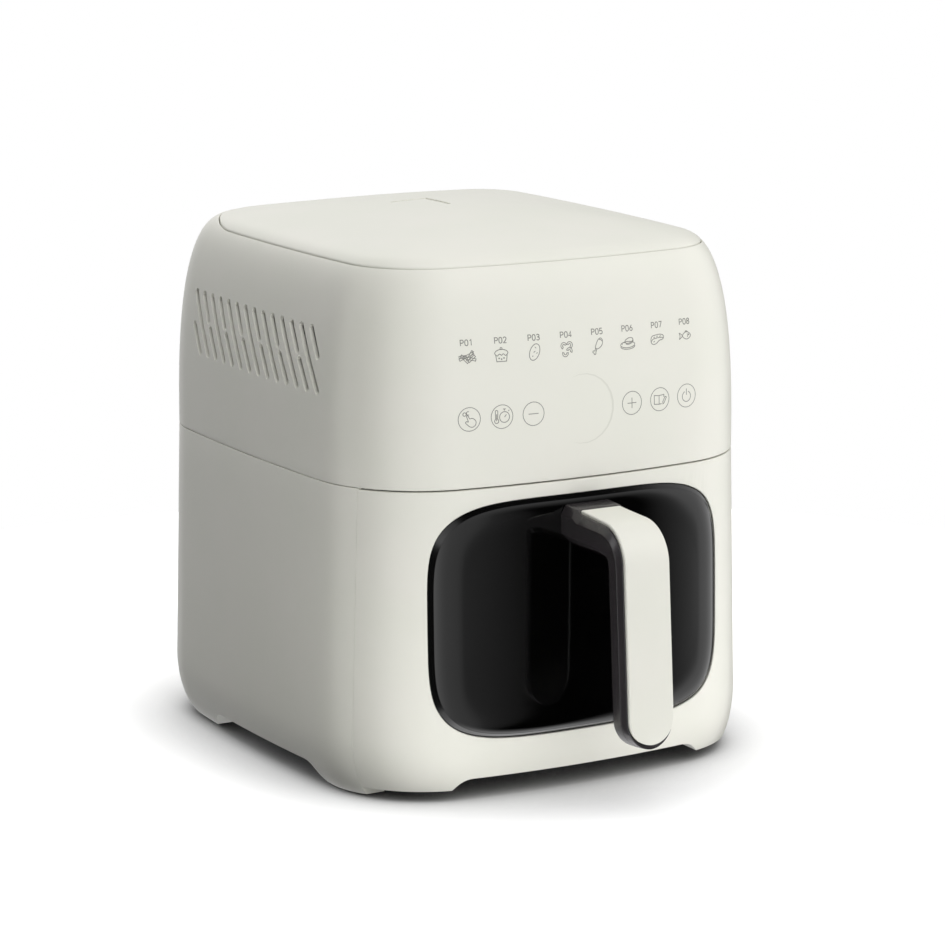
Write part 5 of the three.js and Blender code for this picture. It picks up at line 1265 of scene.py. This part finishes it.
# Painted light: the floor's colour for bounced light changes with place. It is dark round the object's sides
# and back and close before it, and brighter than white in a strip further in front, so that it lights the
# lower front and leaves the flank in shade.
FLOOR_BOUNCE = 0.14
NEAR_BOUNCE = 1.8
FAR_BOUNCE = 0.8
NEAR_FLOOR = (0.1, 0.14)
FAR_FLOOR = (0.17, 0.26)
# The floor's contact shadow is painted. Ambient occlusion within this reach darkens the floor's colour and
# its glow for the camera, on top of its real shading by the lights.
CONTACT_REACH = 0.08
CONTACT_DEPTH = 0.8
GLOW_DEPTH = 1.4
GLOW_SHARE = 0.45

floor_mesh = bpy.data.meshes.new("floor")
floor_mesh.from_pydata([(x, y, 0) for x, y in FLOOR_RADIUS * circle(96)], [], [range(96)])
add_object(floor_mesh)

floor_paint = bpy.data.materials.new("floor")
floor_mesh.materials.append(floor_paint)
tree = Tree(floor_paint)
tree.nodes.clear()
# Painted shadow: ambient occlusion darkens the floor round the object, in its lit colour and in its glow,
# for the camera.
contact = tree.add("AmbientOcclusion", {"Distance": CONTACT_REACH}, "AO")
glow = tree.add("Emission", {"Strength": tree.calc("POWER", contact, GLOW_DEPTH)})
seen = tree.calc("MULTIPLY", tree.calc("POWER", contact, CONTACT_DEPTH), FLOOR_SEEN)
# Painted light: the bounce colour runs from dark close to the object to brighter than white in a strip in
# front of it.
ahead = tree.calc("MULTIPLY", tree.part("Object", "Y"), -1)
bounce = tree.blend(tree.smooth(ahead, *NEAR_FLOOR), FLOOR_BOUNCE, NEAR_BOUNCE)
bounce = tree.blend(tree.smooth(ahead, *FAR_FLOOR), bounce, FAR_BOUNCE)
camera_ray = tree.ray("Camera")
plain = tree.add("BsdfDiffuse", {"Color": tree.blend(camera_ray, bounce, seen)})
plain = tree.mix(tree.calc("MULTIPLY", camera_ray, GLOW_SHARE), plain, glow)
mirrored = tree.calc("MAXIMUM", tree.ray("Glossy"), tree.ray("Transmission"))
tree.add("OutputMaterial", {"Surface": tree.mix(mirrored, plain, tree.add("BsdfTransparent", {}))})

world = bpy.data.worlds.new("studio")
scene.world = world
tree = Tree(world)
tree.nodes.clear()
ahead = tree.calc("MULTIPLY", tree.part("Generated", "Y"), -1)
turn = tree.calc("ARCTAN2", tree.part("Generated", "X"), ahead)
turn = tree.calc("MULTIPLY_ADD", turn, 0.5 / math.pi, 0.5)
rise = tree.calc("ARCSINE", tree.part("Generated", "Z"))
fall = tree.calc("MULTIPLY", rise, -1)
lighting = tree.blend(tree.smooth(rise, *ZENITH), tree.levels(turn, SIDE_LIGHT), ZENITH_LIGHT)
mirror = tree.blend(tree.smooth(rise, *ABOVE), tree.levels(turn, MIRROR_LIGHT), MIRROR_ABOVE)
mirror = tree.blend(tree.smooth(rise, *OVERHEAD), mirror, 0)
mirror = tree.blend(tree.smooth(fall, *BELOW), mirror, MIRROR_BELOW)
level = tree.blend(tree.ray("Glossy"), lighting, mirror)
straight = tree.calc("MAXIMUM", tree.ray("Camera"), tree.ray("Transmission"))
sky = tree.add("Background", {"Color": (1, 1, 1, 1), "Strength": tree.blend(straight, level, 1)})
tree.add("OutputWorld", {"Surface": sky})

CAMERA_AZIMUTH = -29.77 * DEG
CAMERA_ELEVATION = 11.787 * DEG
CAMERA_DISTANCE = 2.07184
target = Vector((0, 0.033454, 0.1508))
back = Vector((
    math.sin(CAMERA_AZIMUTH) * math.cos(CAMERA_ELEVATION),
    -math.cos(CAMERA_AZIMUTH) * math.cos(CAMERA_ELEVATION),
    math.sin(CAMERA_ELEVATION),
))
lens = bpy.data.cameras.new("camera")
lens.sensor_width = 36
lens.lens = 140.05
lens.shift_x = 0.0221
lens.shift_y = -0.0095
lens.clip_end = 20
camera = add_object(lens)
camera.location = target + back * CAMERA_DISTANCE
camera.rotation_euler = back.to_track_quat("Z", "Y").to_euler()
scene.camera = camera
scene.view_settings.view_transform = "Standard"
